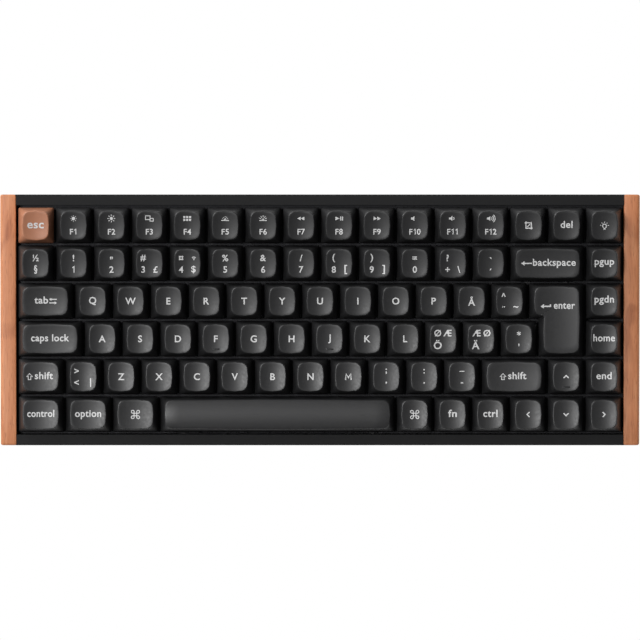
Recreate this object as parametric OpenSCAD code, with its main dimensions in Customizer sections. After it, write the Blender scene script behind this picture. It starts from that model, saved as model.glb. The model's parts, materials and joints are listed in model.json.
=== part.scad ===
// Low wedge keyboard, 75 % layout with 85 keys, wooden side bars and flip-out feet.
// Row frame: X to the right, Y to the back, Z up, origin under the middle of the body.
// Plate frame: tilted about X, origin on the plate's top face under the middle of the keys.

/* [Layout] */
// Distance between the centres of two neighbouring keys
key_pitch = 19.05; // [18.5:0.05:23]
// Gap between the skirts of neighbouring keycaps
key_gap = 0.95; // [0.7:0.05:1.4]
// Slope of the plate and of the case top, in degrees
tilt = 3.5; // [2:0.1:6]
// Travel of a key
key_travel = 4; // [2.5:0.1:4]

/* [Keycaps] */
// Height of a resting skirt's lower edge above the plate
cap_lift = 6; // [6:0.1:8]
// Inset of the top face from the skirt, left and right
cap_side_inset = 2.57; // [1.5:0.01:3.2]
// Inset of the top face from the skirt, at the back
cap_back_inset = 1.42; // [0.8:0.01:2.2]
// Inset of the top face from the skirt, at the front
cap_front_inset = 2.23; // [1:0.01:3]
// Wall of a keycap
cap_wall = 1.25; // [0.9:0.05:1.5]
// Thickness of a keycap's roof under its dish
cap_roof = 1.6; // [1.2:0.1:2.2]
// Depth of the dish in a keycap's top face
dish_depth = 0.7; // [0.2:0.1:1]
// How far the dish of a small key reaches past the sides of the top face
dish_reach = 0.585; // [0.2:0.005:2]
// Corner cut of a keycap at the skirt
cap_corner_low = 0.4; // [0.2:0.1:1]
// Corner cut of a keycap at the top face
cap_corner_high = 1.4; // [0.6:0.1:2]

/* [Case] */
// Height of the case top at its front edge, above the desk
front_height = 21.5; // [20:0.1:30]
// Height of the case top above the plate
frame_rise = 7.5; // [5:0.1:9]
// Depth of the top frame below the plate
frame_drop = 6.5; // [6:0.1:9]
// Width of the top frame's front and back bars
bar_depth = 5.35; // [4.5:0.05:9]
// Clearance from the outer keys to the wooden bars
side_gap = 1.08; // [0.6:0.01:2]
// Clearance from the outer keys to the front and back bars
end_gap = 1.25; // [0.6:0.01:2]
// Width of a wooden side bar
wood_w = 8; // [6.5:0.1:14]
// Thickness of the wood over the top frame's side rail
wood_lip = 3; // [2:0.1:4]
// Width of the top frame's side rail
rail_w = 3; // [2:0.1:4]
// Width of the ledge that the plate rests on
ledge_w = 2; // [1.5:0.1:2.4]
// Bevel along the upper outer edges
edge_bevel = 0.8; // [0.3:0.1:1.2]
// Wall of the bottom case
case_wall = 2.2; // [1.8:0.1:3]
// Floor of the bottom case
floor_t = 2.2; // [1.8:0.1:2.8]
// Bevel along the bottom case's lower edges
floor_bevel = 1.5; // [0.5:0.1:2]
// How far the rubber pads stand out of the case
pad_proud = 1.2; // [0.8:0.1:2]
// Depth of a pad's recess
pad_seat = 0.6; // [0.3:0.1:1]

/* [Switches] */
// Thickness of the switch plate
plate_t = 1.5; // [1.2:0.1:2]
// Side of a switch cut-out in the plate
switch_cut = 14; // [13.8:0.05:14.2]
// Side of a switch's flange on the plate
flange_side = 15.6; // [15:0.1:16]
// Thickness of the flange
flange_t = 1; // [0.8:0.1:1.2]
// Height of a switch cover above the plate
cover_top = 6.6; // [6.2:0.1:7]
// Depth of the circuit board's top face below the plate's top face
board_depth = 5; // [4.8:0.1:6]
// Thickness of the circuit board
board_t = 1.6; // [1.2:0.1:2]
// Outer diameter of a switch spring
spring_d = 4.2; // [3.8:0.1:4.4]
// Wire diameter of a switch spring
spring_wire = 0.3; // [0.2:0.05:0.5]
// Diameter of a stabiliser wire
wire_d = 1.6; // [1.4:0.1:1.8]
// Length of a stabiliser wire's arm
wire_arm = 9.5; // [9:0.1:11]

/* [Feet] */
// Width of a flip-out foot
foot_w = 34.8; // [24:0.1:42]
// Length of a flip-out foot from its axis
foot_len = 19; // [14:0.1:24]
// Thickness of a flip-out foot
foot_t = 3; // [2.4:0.1:3.6]
// Diameter of a foot's trunnions
trunnion_d = 2.2; // [1.6:0.1:2.4]
// Distance from the middle of the body to the middle of a foot
foot_x = 128; // [120:1:134]

/* [Ports] */
// Width of the recess in front of the charging socket
port_w = 12.4; // [11:0.1:14]
// Height of the recess in front of the charging socket
port_h = 6.5; // [6:0.1:7.5]
// Depth of the recess in front of the charging socket
port_depth = 5; // [4.5:0.1:6]
// Travel of the three-position mode slider
mode_travel = 4; // [3:0.1:5]
// Travel of the two-position system slider
system_travel = 2.2; // [1.5:0.1:3]

/* [Hidden] */
eps = 0.02;
$fn = 64;

cols = 16;
rows = 6;
fit = 0.15;           // loose fit between assembled pieces
running = 0.05;       // radial clearance of a turning pin

// Heights of the top face's edges over the skirt, [front, back], from the back row to the front row
CAP_HEIGHTS = [[9.4, 10.9], [9.3, 10.6], [8.6, 9.3], [8.4, 8.4], [9.1, 8.3], [9.4, 8.4]];

grid_w = cols * key_pitch;
grid_d = rows * key_pitch;
opening_w = grid_w - key_gap + 2 * side_gap;
opening_d = grid_d - key_gap + 2 * end_gap;
body_w = opening_w + 2 * wood_w;
body_d = opening_d * cos(tilt) + 2 * bar_depth;
rail_x = opening_w / 2 + rail_w;
plate_y = frame_rise * sin(tilt);
plate_z = front_height + body_d / 2 * tan(tilt) - frame_rise * cos(tilt);
floor_z = pad_proud + floor_t;

cap_low = key_pitch - key_gap;
dish_half = cap_low / 2 - cap_side_inset + dish_reach;     // half the dish's width
dish_radius = (dish_half * dish_half + dish_depth * dish_depth) / (2 * dish_depth);
stem_top = cap_lift + 4.2;      // upper end of a switch stem's cross
post_low = cap_lift + 1.2;      // lower end of a keycap's post
post_d = 5.5;                   // outer diameter of a keycap's post
slider_top = cover_top + 0.3;
slider_low = key_travel - board_depth + 0.9;
shoulder = [8, 5.4];            // wide lower part of a switch slider
neck = [6.6, 5.2];              // narrow upper part of a switch slider; its opening also takes the cap's post
switch_floor = 0.8;             // floor of a switch base

stab_w = 6.8;
stab_d = 13.2;
stab_top = 5.2;
stab_low = -4.6;
stab_slider = [4.4, 5.6];
stab_span_wide = 100;           // between the stabilisers of the space bar
stab_span = 23.8;               // between the stabilisers of a two-unit key
wire_v = -(flange_side / 2 + 0.3 + wire_d / 2);
wire_w = wire_d / 2 + 0.2;
wire_rise = asin(key_travel / 2 / wire_arm);
arm_slot = wire_d + 0.6;
// lift of the arm's middle line over its axis, at the slider's front face, and the slot that clears it
slot_half = key_travel / 2 - (-wire_v - stab_slider[1] / 2) * tan(wire_rise) + wire_d / 2 / cos(wire_rise) + 0.15;

screw_x = [-130, 0, 130];
screw_inset = bar_depth - 0.75;
screw_d = 2.3;
screw_head_d = 4.6;
screw_head_h = 1.7;
column = [8, bar_depth + 0.45];

pad_size = [30, 7];
pad_front_x = 125;
pad_back_x = 82;
pad_inset = 11;

foot_gap = 0.4;
foot_y = body_d / 2 - 9;
foot_z = pad_proud + 0.15 + foot_t / 2;
foot_tip = 1.6;
trunnion_len = 1.2;
foot_box_wall = 2.2;
foot_roof = 1.6;

port_x = -86;
mode_x = -66;
system_x = -50;
port_board_z = 6.2;
port_board_t = 1.2;
port_wall = 1;                  // wall behind the socket's recess
port_board = [-98, -40, body_d / 2 - 19.2, body_d / 2 - port_depth - port_wall - 0.2];
shell = [8.94, 7.3, 3.26];
port_z = port_board_z + port_board_t + shell[2] / 2;
knob = [3, 2];                  // width and height of a slider's knob
knob_base = [5.4, 2.3, 2.4];    // slider block inside its can
can_wall = 0.5;
knob_recess = 1;

battery = [100, 40, 5.4];
battery_at = [20, 25];

// A key is [row, first unit, width in units], rows counted from the back
function run(row, start, count) = [for (i = [0:count - 1]) [row, start + i, 1]];
function key_u(k) = (k[1] + k[2] / 2 - cols / 2) * key_pitch;
function key_v(k) = ((rows - 1) / 2 - k[0]) * key_pitch;

SPACE = [5, 3.75, 6.25];
BACKSPACE = [1, 13, 2];
ENTER = [2.5, 13.75, 1.25];     // middle of the two rows it covers, by its narrow lower part
ENTER_SHOULDER = 0.25;          // extra width of its upper part, in units

KEY_BANKS = [
    ["key_escape", [[0, 0, 1]]],
    ["key_tab", [[2, 0, 1.5]]],
    ["key_caps_lock", [[3, 0, 1.75]]],
    ["key_left_shift", [[4, 0, 1.25]]],
    ["key_right_shift", [[4, 12.25, 1.75]]],
    ["key_control", [[5, 0, 1.25]]],
    ["key_option", [[5, 1.25, 1.25]]],
    ["key_command", [[5, 2.5, 1.25]]],
    ["key_space", [SPACE]],
    ["key_backspace", [BACKSPACE]],
    ["key_arrow_up", [[4, 14, 1]]],
    ["key_arrow_left", [[5, 13, 1]]],
    ["key_arrow_down", [[5, 14, 1]]],
    ["key_arrow_right", [[5, 15, 1]]],
    ["keys_f1_to_f4", run(0, 1, 4)],
    ["keys_f5_to_f8", run(0, 5, 4)],
    ["keys_f9_to_f12", run(0, 9, 4)],
    ["keys_capture_delete_light", run(0, 13, 3)],
    ["keys_page_home_end", [for (row = [1:4]) [row, 15, 1]]],
    ["keys_half_1_2", run(1, 0, 3)],
    ["keys_3_4_5", run(1, 3, 3)],
    ["keys_6_7_8", run(1, 6, 3)],
    ["keys_9_0_plus_accent", run(1, 9, 4)],
    ["keys_q_w_e", run(2, 1.5, 3)],
    ["keys_r_t_y", run(2, 4.5, 3)],
    ["keys_u_i_o", run(2, 7.5, 3)],
    ["keys_p_ring_umlaut", run(2, 10.5, 3)],
    ["keys_a_s_d", run(3, 1.75, 3)],
    ["keys_f_g_h", run(3, 4.75, 3)],
    ["keys_j_k_l", run(3, 7.75, 3)],
    ["keys_slash_ligature_star", run(3, 10.75, 3)],
    ["keys_angle_z_x", run(4, 1.25, 3)],
    ["keys_c_v_b", run(4, 4.25, 3)],
    ["keys_n_m_comma", run(4, 7.25, 3)],
    ["keys_dot_dash", run(4, 10.25, 2)],
    ["keys_right_modifiers", run(5, 10, 3)],
];
ALL_KEYS = [for (bank = KEY_BANKS) each bank[1]];
SWITCH_SPOTS = concat([for (k = ALL_KEYS) [key_u(k), key_v(k)]], [[key_u(ENTER), key_v(ENTER)]]);

// Stabilised keys: [middle u, middle v, span, turn about the plate's normal]
STABS = [
    [key_u(SPACE), key_v(SPACE), stab_span_wide, 0],
    [key_u(BACKSPACE), key_v(BACKSPACE), stab_span, 0],
    [key_u(ENTER), key_v(ENTER), stab_span, -90],
];

ABS_BLACK = [0.07, 0.07, 0.08];
ANODISED = [0.13, 0.13, 0.14];
WOOD = [0.72, 0.5, 0.36];
CAP_GREY = [0.25, 0.25, 0.26];
CAP_BROWN = [0.62, 0.43, 0.33];
STEM_BROWN = [0.42, 0.24, 0.14];
STEEL = [0.66, 0.67, 0.69];
FOAM = [0.2, 0.2, 0.2];

// ---------- frames and plain helpers ----------

module on_plate() {
    translate([0, plate_y, plate_z]) rotate([tilt, 0, 0]) children();
}

// Height of the plane w above the plate, over the row frame's y
function plane_z(y, w) = plate_z + (y - plate_y) * tan(tilt) + w / cos(tilt);

// A box from its lowest and highest corners
module block(low, high) {
    translate(low) cube(high - low);
}

// A side profile in Y and Z, carried along X from x0 to x1
module along_x(x0, x1, points) {
    translate([x0, 0, 0]) rotate([90, 0, 90]) linear_extrude(x1 - x0) polygon(points);
}

// A front profile in X and Z, carried along Y from y0 to y1
module along_y(y0, y1, points) {
    translate([0, y1, 0]) rotate([90, 0, 0]) linear_extrude(y1 - y0) polygon(points);
}

// A wedge between the planes w0 and w1, with upright faces at y0 and y1 and bevelled upper edges
module wedge(x0, x1, y0, y1, w0, w1, bevel = 0) {
    lower = [[y0, plane_z(y0, w0)], [y1, plane_z(y1, w0)]];
    upper = bevel == 0
        ? [[y1, plane_z(y1, w1)], [y0, plane_z(y0, w1)]]
        : [[y1, plane_z(y1, w1) - bevel], [y1 - bevel, plane_z(y1 - bevel, w1)],
           [y0 + bevel, plane_z(y0 + bevel, w1)], [y0, plane_z(y0, w1) - bevel]];
    along_x(x0, x1, concat(lower, upper));
}

// ---------- case ----------

module screw_spots() {
    for (x = screw_x, side = [-1, 1]) translate([x, side * (body_d / 2 - screw_inset), 0]) children();
}

function screw_end(side) = plane_z(side * (body_d / 2 - screw_inset), -plate_t) - 1.2;

module top_frame() {
    color(ANODISED) difference() {
        wedge(-rail_x, rail_x, -body_d / 2, body_d / 2, -frame_drop, frame_rise, edge_bevel);
        on_plate() {
            block([-opening_w / 2, -opening_d / 2, -plate_t], [opening_w / 2, opening_d / 2, frame_rise + 5]);
            block([-opening_w / 2 + ledge_w, -opening_d / 2 + ledge_w, -frame_drop - 5],
                  [opening_w / 2 - ledge_w, opening_d / 2 - ledge_w, 0]);
        }
        for (side = [-1, 1]) mirror([side < 0 ? 1 : 0, 0, 0])
            wedge(opening_w / 2, rail_x + 1, -body_d, body_d, frame_rise - wood_lip, frame_rise + 5);
        for (x = screw_x, side = [-1, 1])
            translate([x, side * (body_d / 2 - screw_inset), 0])
                cylinder(d = screw_d + 2 * running, h = screw_end(side) + 0.3);
    }
}

module wood_bar() {
    difference() {
        wedge(opening_w / 2, body_w / 2, -body_d / 2, body_d / 2, -frame_drop, frame_rise);
        wedge(opening_w / 2 - 1, rail_x + fit, -body_d, body_d, -frame_drop - 5, frame_rise - wood_lip);
        on_plate() translate([body_w / 2, 0, frame_rise]) rotate([0, 45, 0])
            cube([edge_bevel * sqrt(2), 2 * body_d, edge_bevel * sqrt(2)], center = true);
    }
}

module wood_side_left() {
    color(WOOD) mirror([1, 0, 0]) wood_bar();
}

module wood_side_right() {
    color(WOOD) wood_bar();
}

// The tray's outline in Y and Z, drawn in by inset, with its bottom at z0
function tray_outline(inset, z0, bevel) = let (y = body_d / 2 - inset) [
    [-y + bevel, z0], [y - bevel, z0], [y, z0 + bevel],
    [y, plane_z(y, -frame_drop) + inset], [-y, plane_z(-y, -frame_drop) + inset], [-y, z0 + bevel],
];

module foot_recess(x) {
    y0 = foot_y - foot_len - foot_gap;
    y1 = foot_y + foot_t / 2 + foot_gap + 0.4;
    top = foot_z + foot_t / 2 + foot_gap;
    half = foot_w / 2 + foot_gap;
    block([x - half, y0, pad_proud - 1], [x + half, y1, top]);
    // room for a finger tip at the free end
    block([x - 6, y0 - 3, pad_proud - 1], [x + 6, y0 + 1, top - 1]);
    translate([x, foot_y, foot_z]) rotate([0, 90, 0])
        cylinder(d = trunnion_d + 2 * running, h = foot_w + 2 * (trunnion_len + foot_gap), center = true);
}

module foot_box(x) {
    half = foot_w / 2 + foot_gap + foot_box_wall;
    block([x - half, foot_y - foot_len - foot_gap - foot_box_wall, pad_proud + floor_t / 2],
          [x + half, foot_y + foot_t / 2 + foot_gap + 0.4 + foot_box_wall, foot_z + foot_t / 2 + foot_gap + foot_roof]);
}

// Cut for a slider's knob: a slot through the wall and a shallow dip outside it
module knob_cut(x, travel) {
    half = travel / 2 + knob[0] / 2 + 0.4;
    block([x - half, body_d / 2 - case_wall - 1, port_z - knob[1] / 2 - 0.3],
          [x + half, body_d / 2 + 1, port_z + knob[1] / 2 + 0.3]);
    block([x - half - 1.5, body_d / 2 - knob_recess, port_z - knob[1] / 2 - 1.4],
          [x + half + 1.5, body_d / 2 + 1, port_z + knob[1] / 2 + 1.4]);
}

module pad_spots() {
    for (side = [-1, 1]) {
        translate([side * pad_front_x, -body_d / 2 + pad_inset, 0]) children();
        translate([side * pad_back_x, body_d / 2 - pad_inset, 0]) children();
    }
}

// A flat pad with round ends, lying along X
module stadium(size, z0, z1) {
    r = size[1] / 2;
    translate([0, 0, z0]) {
        block([-size[0] / 2 + r, -r, 0], [size[0] / 2 - r, r, z1 - z0]);
        for (side = [-1, 1]) translate([side * (size[0] / 2 - r), 0, 0]) cylinder(r = r, h = z1 - z0);
    }
}

module bottom_case() {
    back = body_d / 2;
    block_top = port_z + port_h / 2 + 1.6;
    color(ABS_BLACK) difference() {
        union() {
            difference() {
                along_x(-body_w / 2, body_w / 2, tray_outline(0, pad_proud, floor_bevel));
                along_x(-body_w / 2 + case_wall, body_w / 2 - case_wall,
                        tray_outline(case_wall, floor_z, 0));
            }
            // columns that the case screws pass through
            intersection() {
                for (x = screw_x, side = [-1, 1])
                    translate([x, side * (back - column[1] / 2 - 0.8), 0])
                        block([-column[0] / 2, -column[1] / 2, pad_proud + 0.5], [column[0] / 2, column[1] / 2, 30]);
                wedge(-body_w, body_w, -back + 1, back - 1, -100, -frame_drop);
            }
            for (side = [-1, 1]) foot_box(side * foot_x);
            // thick wall round the charging socket
            block([port_x - port_w / 2 - 2, back - port_depth - port_wall, pad_proud + 1],
                  [port_x + port_w / 2 + 2, back - case_wall / 2, block_top]);
            // posts under the port board
            for (x = [port_board[0] + 3, port_board[1] - 3])
                translate([x, port_board[2] + 3, pad_proud + 1]) cylinder(d = 4, h = port_board_z - pad_proud - 1);
        }
        for (side = [-1, 1]) foot_recess(side * foot_x);
        block([port_x - port_w / 2, back - port_depth, port_z - port_h / 2],
              [port_x + port_w / 2, back + 1, port_z + port_h / 2]);
        block([port_x - shell[0] / 2 - fit, back - port_depth - port_wall - 1, port_z - shell[2] / 2 - fit],
              [port_x + shell[0] / 2 + fit, back, port_z + shell[2] / 2 + fit]);
        knob_cut(mode_x, mode_travel);
        knob_cut(system_x, system_travel);
        pad_spots() stadium(pad_size + [0.2, 0.2], pad_proud - 1, pad_proud + pad_seat);
        screw_spots() {
            translate([0, 0, -1]) cylinder(d = screw_head_d + 0.6, h = pad_proud + screw_head_h + 1.3);
            cylinder(d = screw_d + 0.5, h = 40);
        }
        // bevel along the lower edges of both ends
        for (side = [-1, 1]) translate([side * body_w / 2, 0, pad_proud]) rotate([0, 45, 0])
            cube([floor_bevel * sqrt(2), 2 * body_d, floor_bevel * sqrt(2)], center = true);
    }
}

module case_screws() {
    head_z = pad_proud + 0.3;
    color(STEEL) for (x = screw_x, side = [-1, 1])
        translate([x, side * (body_d / 2 - screw_inset), 0]) difference() {
            union() {
                translate([0, 0, head_z]) cylinder(d = screw_head_d, h = screw_head_h);
                translate([0, 0, head_z]) cylinder(d = screw_d, h = screw_end(side) - head_z);
            }
            for (turn = [0, 90]) rotate([0, 0, turn])
                block([-1.3, -0.3, head_z - 1], [1.3, 0.3, head_z + 0.9]);
        }
}

module rubber_pads() {
    color([0.05, 0.05, 0.05]) pad_spots() stadium(pad_size, 0, pad_proud + pad_seat);
}

// ---------- plate, boards and foams ----------

module switch_spots() {
    for (spot = SWITCH_SPOTS) translate([spot[0], spot[1], 0]) children();
}

// Both ends of every stabiliser, turned so that its wire lies at negative v and its middle at positive u
module stab_spots() {
    for (s = STABS, end = [0, 1])
        translate([s[0], s[1], 0]) rotate([0, 0, s[3]])
            mirror([end, 0, 0]) translate([-s[2] / 2, 0, 0]) children();
}

module square_cut(side, w0, w1) {
    block([-side / 2, -side / 2, w0], [side / 2, side / 2, w1]);
}

module stab_cut(clear, w0, w1) {
    block([-stab_w / 2 - clear, -stab_d / 2 - clear, w0], [stab_w / 2 + clear, stab_d / 2 + clear, w1]);
    block([-arm_slot / 2 - clear, wire_v - wire_d / 2, w0], [arm_slot / 2 + clear, 0, w1]);
}

module switch_plate() {
    color(STEEL) on_plate() difference() {
        block([-opening_w / 2 + fit, -opening_d / 2 + fit, -plate_t], [opening_w / 2 - fit, opening_d / 2 - fit, 0]);
        switch_spots() square_cut(switch_cut, -plate_t - 1, 1);
        stab_spots() stab_cut(0.1, -plate_t - 1, 1);
    }
}

module plate_foam() {
    edge = ledge_w + 0.4;
    color(FOAM) on_plate() difference() {
        block([-opening_w / 2 + edge, -opening_d / 2 + edge, -board_depth + fit],
              [opening_w / 2 - edge, opening_d / 2 - edge, -plate_t - fit]);
        switch_spots() square_cut(switch_cut + 0.6, -board_depth, 0);
        stab_spots() stab_cut(0.4, -board_depth, 0);
    }
}

module circuit_board() {
    edge = ledge_w + 0.4;
    low = -board_depth - board_t;
    on_plate() {
        color([0.06, 0.16, 0.12])
            block([-opening_w / 2 + edge, -opening_d / 2 + edge, low], [opening_w / 2 - edge, opening_d / 2 - edge, -board_depth]);
        color([0.1, 0.1, 0.1]) {
            block([-60, -14, low - 1], [-50, -4, low]);
            block([-38, -12, low - 0.9], [-31, -5, low]);
            block([-80, -12, low - 1.8], [-66, -2, low]);
        }
    }
}

module case_foam() {
    back = battery_at[1] - battery[1] / 2 - 2;
    front = -body_d / 2 + column[1] + 2.5;
    color(FOAM) block([-body_w / 2 + case_wall + 8, front, floor_z], [body_w / 2 - case_wall - 8, back, floor_z + 2]);
}

module battery_pack() {
    low = [battery_at[0] - battery[0] / 2, battery_at[1] - battery[1] / 2, floor_z];
    color([0.75, 0.76, 0.78]) block(low, low + battery);
}

// ---------- ports and sliders ----------

module port_board() {
    top = port_board_z + port_board_t;
    mouth_y = body_d / 2 - port_depth;
    color([0.06, 0.16, 0.12]) {
        block([port_board[0], port_board[2], port_board_z], [port_board[1], port_board[3], top]);
        block([port_x + port_w / 2 + 2.3, port_board[3] - 1, port_board_z],
              [port_board[1], body_d / 2 - case_wall - 0.5, top]);
    }
    color(STEEL) difference() {
        block([port_x - shell[0] / 2, mouth_y - shell[1], top], [port_x + shell[0] / 2, mouth_y, top + shell[2]]);
        block([port_x - shell[0] / 2 + 0.3, mouth_y - shell[1] + 1, top + 0.3],
              [port_x + shell[0] / 2 - 0.3, mouth_y + 1, top + shell[2] - 0.3]);
    }
    color(ABS_BLACK) block([port_x - 3.3, mouth_y - shell[1] + 1, port_z - 0.35], [port_x + 3.3, mouth_y - 1, port_z + 0.35]);
    color(STEEL) {
        slider_can(mode_x, mode_travel);
        slider_can(system_x, system_travel);
    }
}

// The fixed can that a slider block runs in, open towards the back wall
module slider_can(x, travel) {
    top = port_board_z + port_board_t;
    half = travel / 2 + knob_base[0] / 2 + 0.1;
    back = body_d / 2 - case_wall - 0.4;
    room = knob_base[2] / 2 + 0.1;
    difference() {
        block([x - half - can_wall, back - knob_base[1] - 2 * can_wall, top], [x + half + can_wall, back, port_z + room + can_wall]);
        block([x - half, back - knob_base[1] - can_wall, port_z - room], [x + half, back + 1, port_z + room]);
    }
}

module slider_block(x) {
    back = body_d / 2 - case_wall - 0.5;
    color([0.2, 0.2, 0.2]) {
        block([x - knob_base[0] / 2, back - knob_base[1], port_z - knob_base[2] / 2],
              [x + knob_base[0] / 2, back, port_z + knob_base[2] / 2]);
        block([x - knob[0] / 2, back - eps, port_z - knob[1] / 2], [x + knob[0] / 2, body_d / 2 - 0.1, port_z + knob[1] / 2]);
    }
}

module mode_slider() {
    slider_block(mode_x);
}

// At rest the system slider stands at its left stop
module system_slider() {
    slider_block(system_x - system_travel / 2);
}

// ---------- feet ----------

module foot(x) {
    color(ABS_BLACK) translate([x, foot_y, foot_z]) {
        block([-foot_w / 2, -foot_len + foot_tip, -foot_t / 2], [foot_w / 2, 0, foot_t / 2]);
        rotate([0, 90, 0]) cylinder(d = foot_t, h = foot_w, center = true);
        rotate([0, 90, 0]) cylinder(d = trunnion_d, h = foot_w + 2 * trunnion_len, center = true);
    }
    color([0.05, 0.05, 0.05]) translate([x, foot_y, foot_z])
        block([-foot_w / 2 + 1, -foot_len, -foot_t / 2], [foot_w / 2 - 1, -foot_len + foot_tip, foot_t / 2]);
}

module foot_left() {
    foot(-foot_x);
}

module foot_right() {
    foot(foot_x);
}

// ---------- switches ----------

module switch_base() {
    body = switch_cut - 0.1;
    difference() {
        union() {
            block([-body / 2, -body / 2, -board_depth], [body / 2, body / 2, eps]);
            block([-flange_side / 2, -flange_side / 2, 0], [flange_side / 2, flange_side / 2, flange_t]);
        }
        block([-shoulder[0] / 2 - 0.3, -shoulder[1] / 2 - 0.3, -board_depth + switch_floor],
              [shoulder[0] / 2 + 0.3, shoulder[1] / 2 + 0.3, flange_t + 1]);
    }
    // boss that centres the spring
    translate([0, 0, -board_depth + switch_floor / 2]) cylinder(d = 2.8, h = switch_floor / 2 + 2.6);
}

module switch_bases() {
    color(ABS_BLACK) on_plate() switch_spots() switch_base();
}

module switch_cover() {
    low = flange_side / 2;
    top_u = 5.8;
    top_v = 6.5;
    wall = 1.2;
    difference() {
        intersection() {
            along_x(-low, low, [[-low, flange_t], [low, flange_t], [top_v, cover_top], [-top_v, cover_top]]);
            along_y(-low, low, [[-low, flange_t], [low, flange_t], [top_u, cover_top], [-top_u, cover_top]]);
        }
        intersection() {
            inner = cover_top - 1;
            along_x(-low, low, [[-low + wall, 0], [low - wall, 0], [top_v - wall, inner], [-top_v + wall, inner]]);
            along_y(-low, low, [[-low + wall, 0], [low - wall, 0], [top_u - wall, inner], [-top_u + wall, inner]]);
        }
        block([-neck[0] / 2 - 0.3, -neck[1] / 2 - 0.3, flange_t], [neck[0] / 2 + 0.3, neck[1] / 2 + 0.3, cover_top + 1]);
    }
}

module switch_covers() {
    color([0.16, 0.16, 0.17]) on_plate() switch_spots() switch_cover();
}

// Each spring is drawn as the sleeve that its coils fill
module switch_springs() {
    low = -board_depth + switch_floor;
    color(STEEL) on_plate() switch_spots() translate([0, 0, low]) difference() {
        cylinder(d = spring_d, h = 4 - low);
        translate([0, 0, -1]) cylinder(d = spring_d - 2 * spring_wire, h = 6 - low);
    }
}

// The cross that a keycap's post is pressed onto
module stem_cross(low) {
    block([-2, -0.62, low], [2, 0.62, stem_top]);
    block([-0.52, -2, low], [0.52, 2, stem_top]);
}

module switch_stem() {
    difference() {
        union() {
            block([-shoulder[0] / 2, -shoulder[1] / 2, slider_low], [shoulder[0] / 2, shoulder[1] / 2, cover_top - 1.1]);
            block([-neck[0] / 2, -neck[1] / 2, slider_low], [neck[0] / 2, neck[1] / 2, slider_top]);
            stem_cross(slider_top - eps);
        }
        translate([0, 0, slider_low - 1]) cylinder(d = spring_d + 0.4, h = 5 - slider_low);
    }
}

// ---------- stabilisers ----------

module stab_housing() {
    difference() {
        union() {
            block([-stab_w / 2, -stab_d / 2, stab_low], [stab_w / 2, stab_d / 2, stab_top]);
            // cradle that the wire snaps into, beside its arm
            block([arm_slot / 2 + 0.2, wire_v - wire_d / 2 - 0.4, 0], [stab_w / 2, 0, wire_w + 0.3]);
        }
        block([-stab_slider[0] / 2 - 0.2, -stab_slider[1] / 2 - 0.2, stab_low + 0.5],
              [stab_slider[0] / 2 + 0.2, stab_slider[1] / 2 + 0.2, stab_top + 1]);
        // room for the keycap's post at the end of its travel
        translate([0, 0, post_low - key_travel - 0.3]) cylinder(d = post_d + 0.4, h = stab_top);
        block([-arm_slot / 2, -stab_d / 2 - 5, -key_travel / 2 - 0.4], [arm_slot / 2, 0, stab_top - 0.8]);
        translate([0, wire_v, wire_w]) rotate([0, 90, 0]) cylinder(d = wire_d + 2 * running + 0.02, h = 20, center = true);
    }
}

module stabiliser_housings() {
    color(ABS_BLACK) on_plate() stab_spots() stab_housing();
}

// One wire: a straight bar and an arm at each end, raised while the key is up
module stab_wire(s) {
    color(STEEL) on_plate() translate([s[0], s[1], 0]) rotate([0, 0, s[3]]) translate([0, wire_v, wire_w]) {
        rotate([0, 90, 0]) cylinder(d = wire_d, h = s[2], center = true);
        for (side = [-1, 1]) translate([side * s[2] / 2, 0, 0]) {
            sphere(d = wire_d);
            rotate([wire_rise - 90, 0, 0]) cylinder(d = wire_d, h = wire_arm);
        }
    }
}

module stabiliser_wire_space() {
    stab_wire(STABS[0]);
}

module stabiliser_wire_backspace() {
    stab_wire(STABS[1]);
}

module stabiliser_wire_enter() {
    stab_wire(STABS[2]);
}

module stab_stem() {
    slot_w = wire_w + key_travel / 2;
    difference() {
        union() {
            block([-stab_slider[0] / 2, -stab_slider[1] / 2, 0.2], [stab_slider[0] / 2, stab_slider[1] / 2, slider_top]);
            stem_cross(slider_top - eps);
        }
        block([-wire_d / 2 - 0.2, -stab_slider[1] / 2 - 1, slot_w - slot_half],
              [wire_d / 2 + 0.2, wire_v + wire_arm + 0.6, slot_w + slot_half]);
    }
}

// ---------- keycaps ----------

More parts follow.
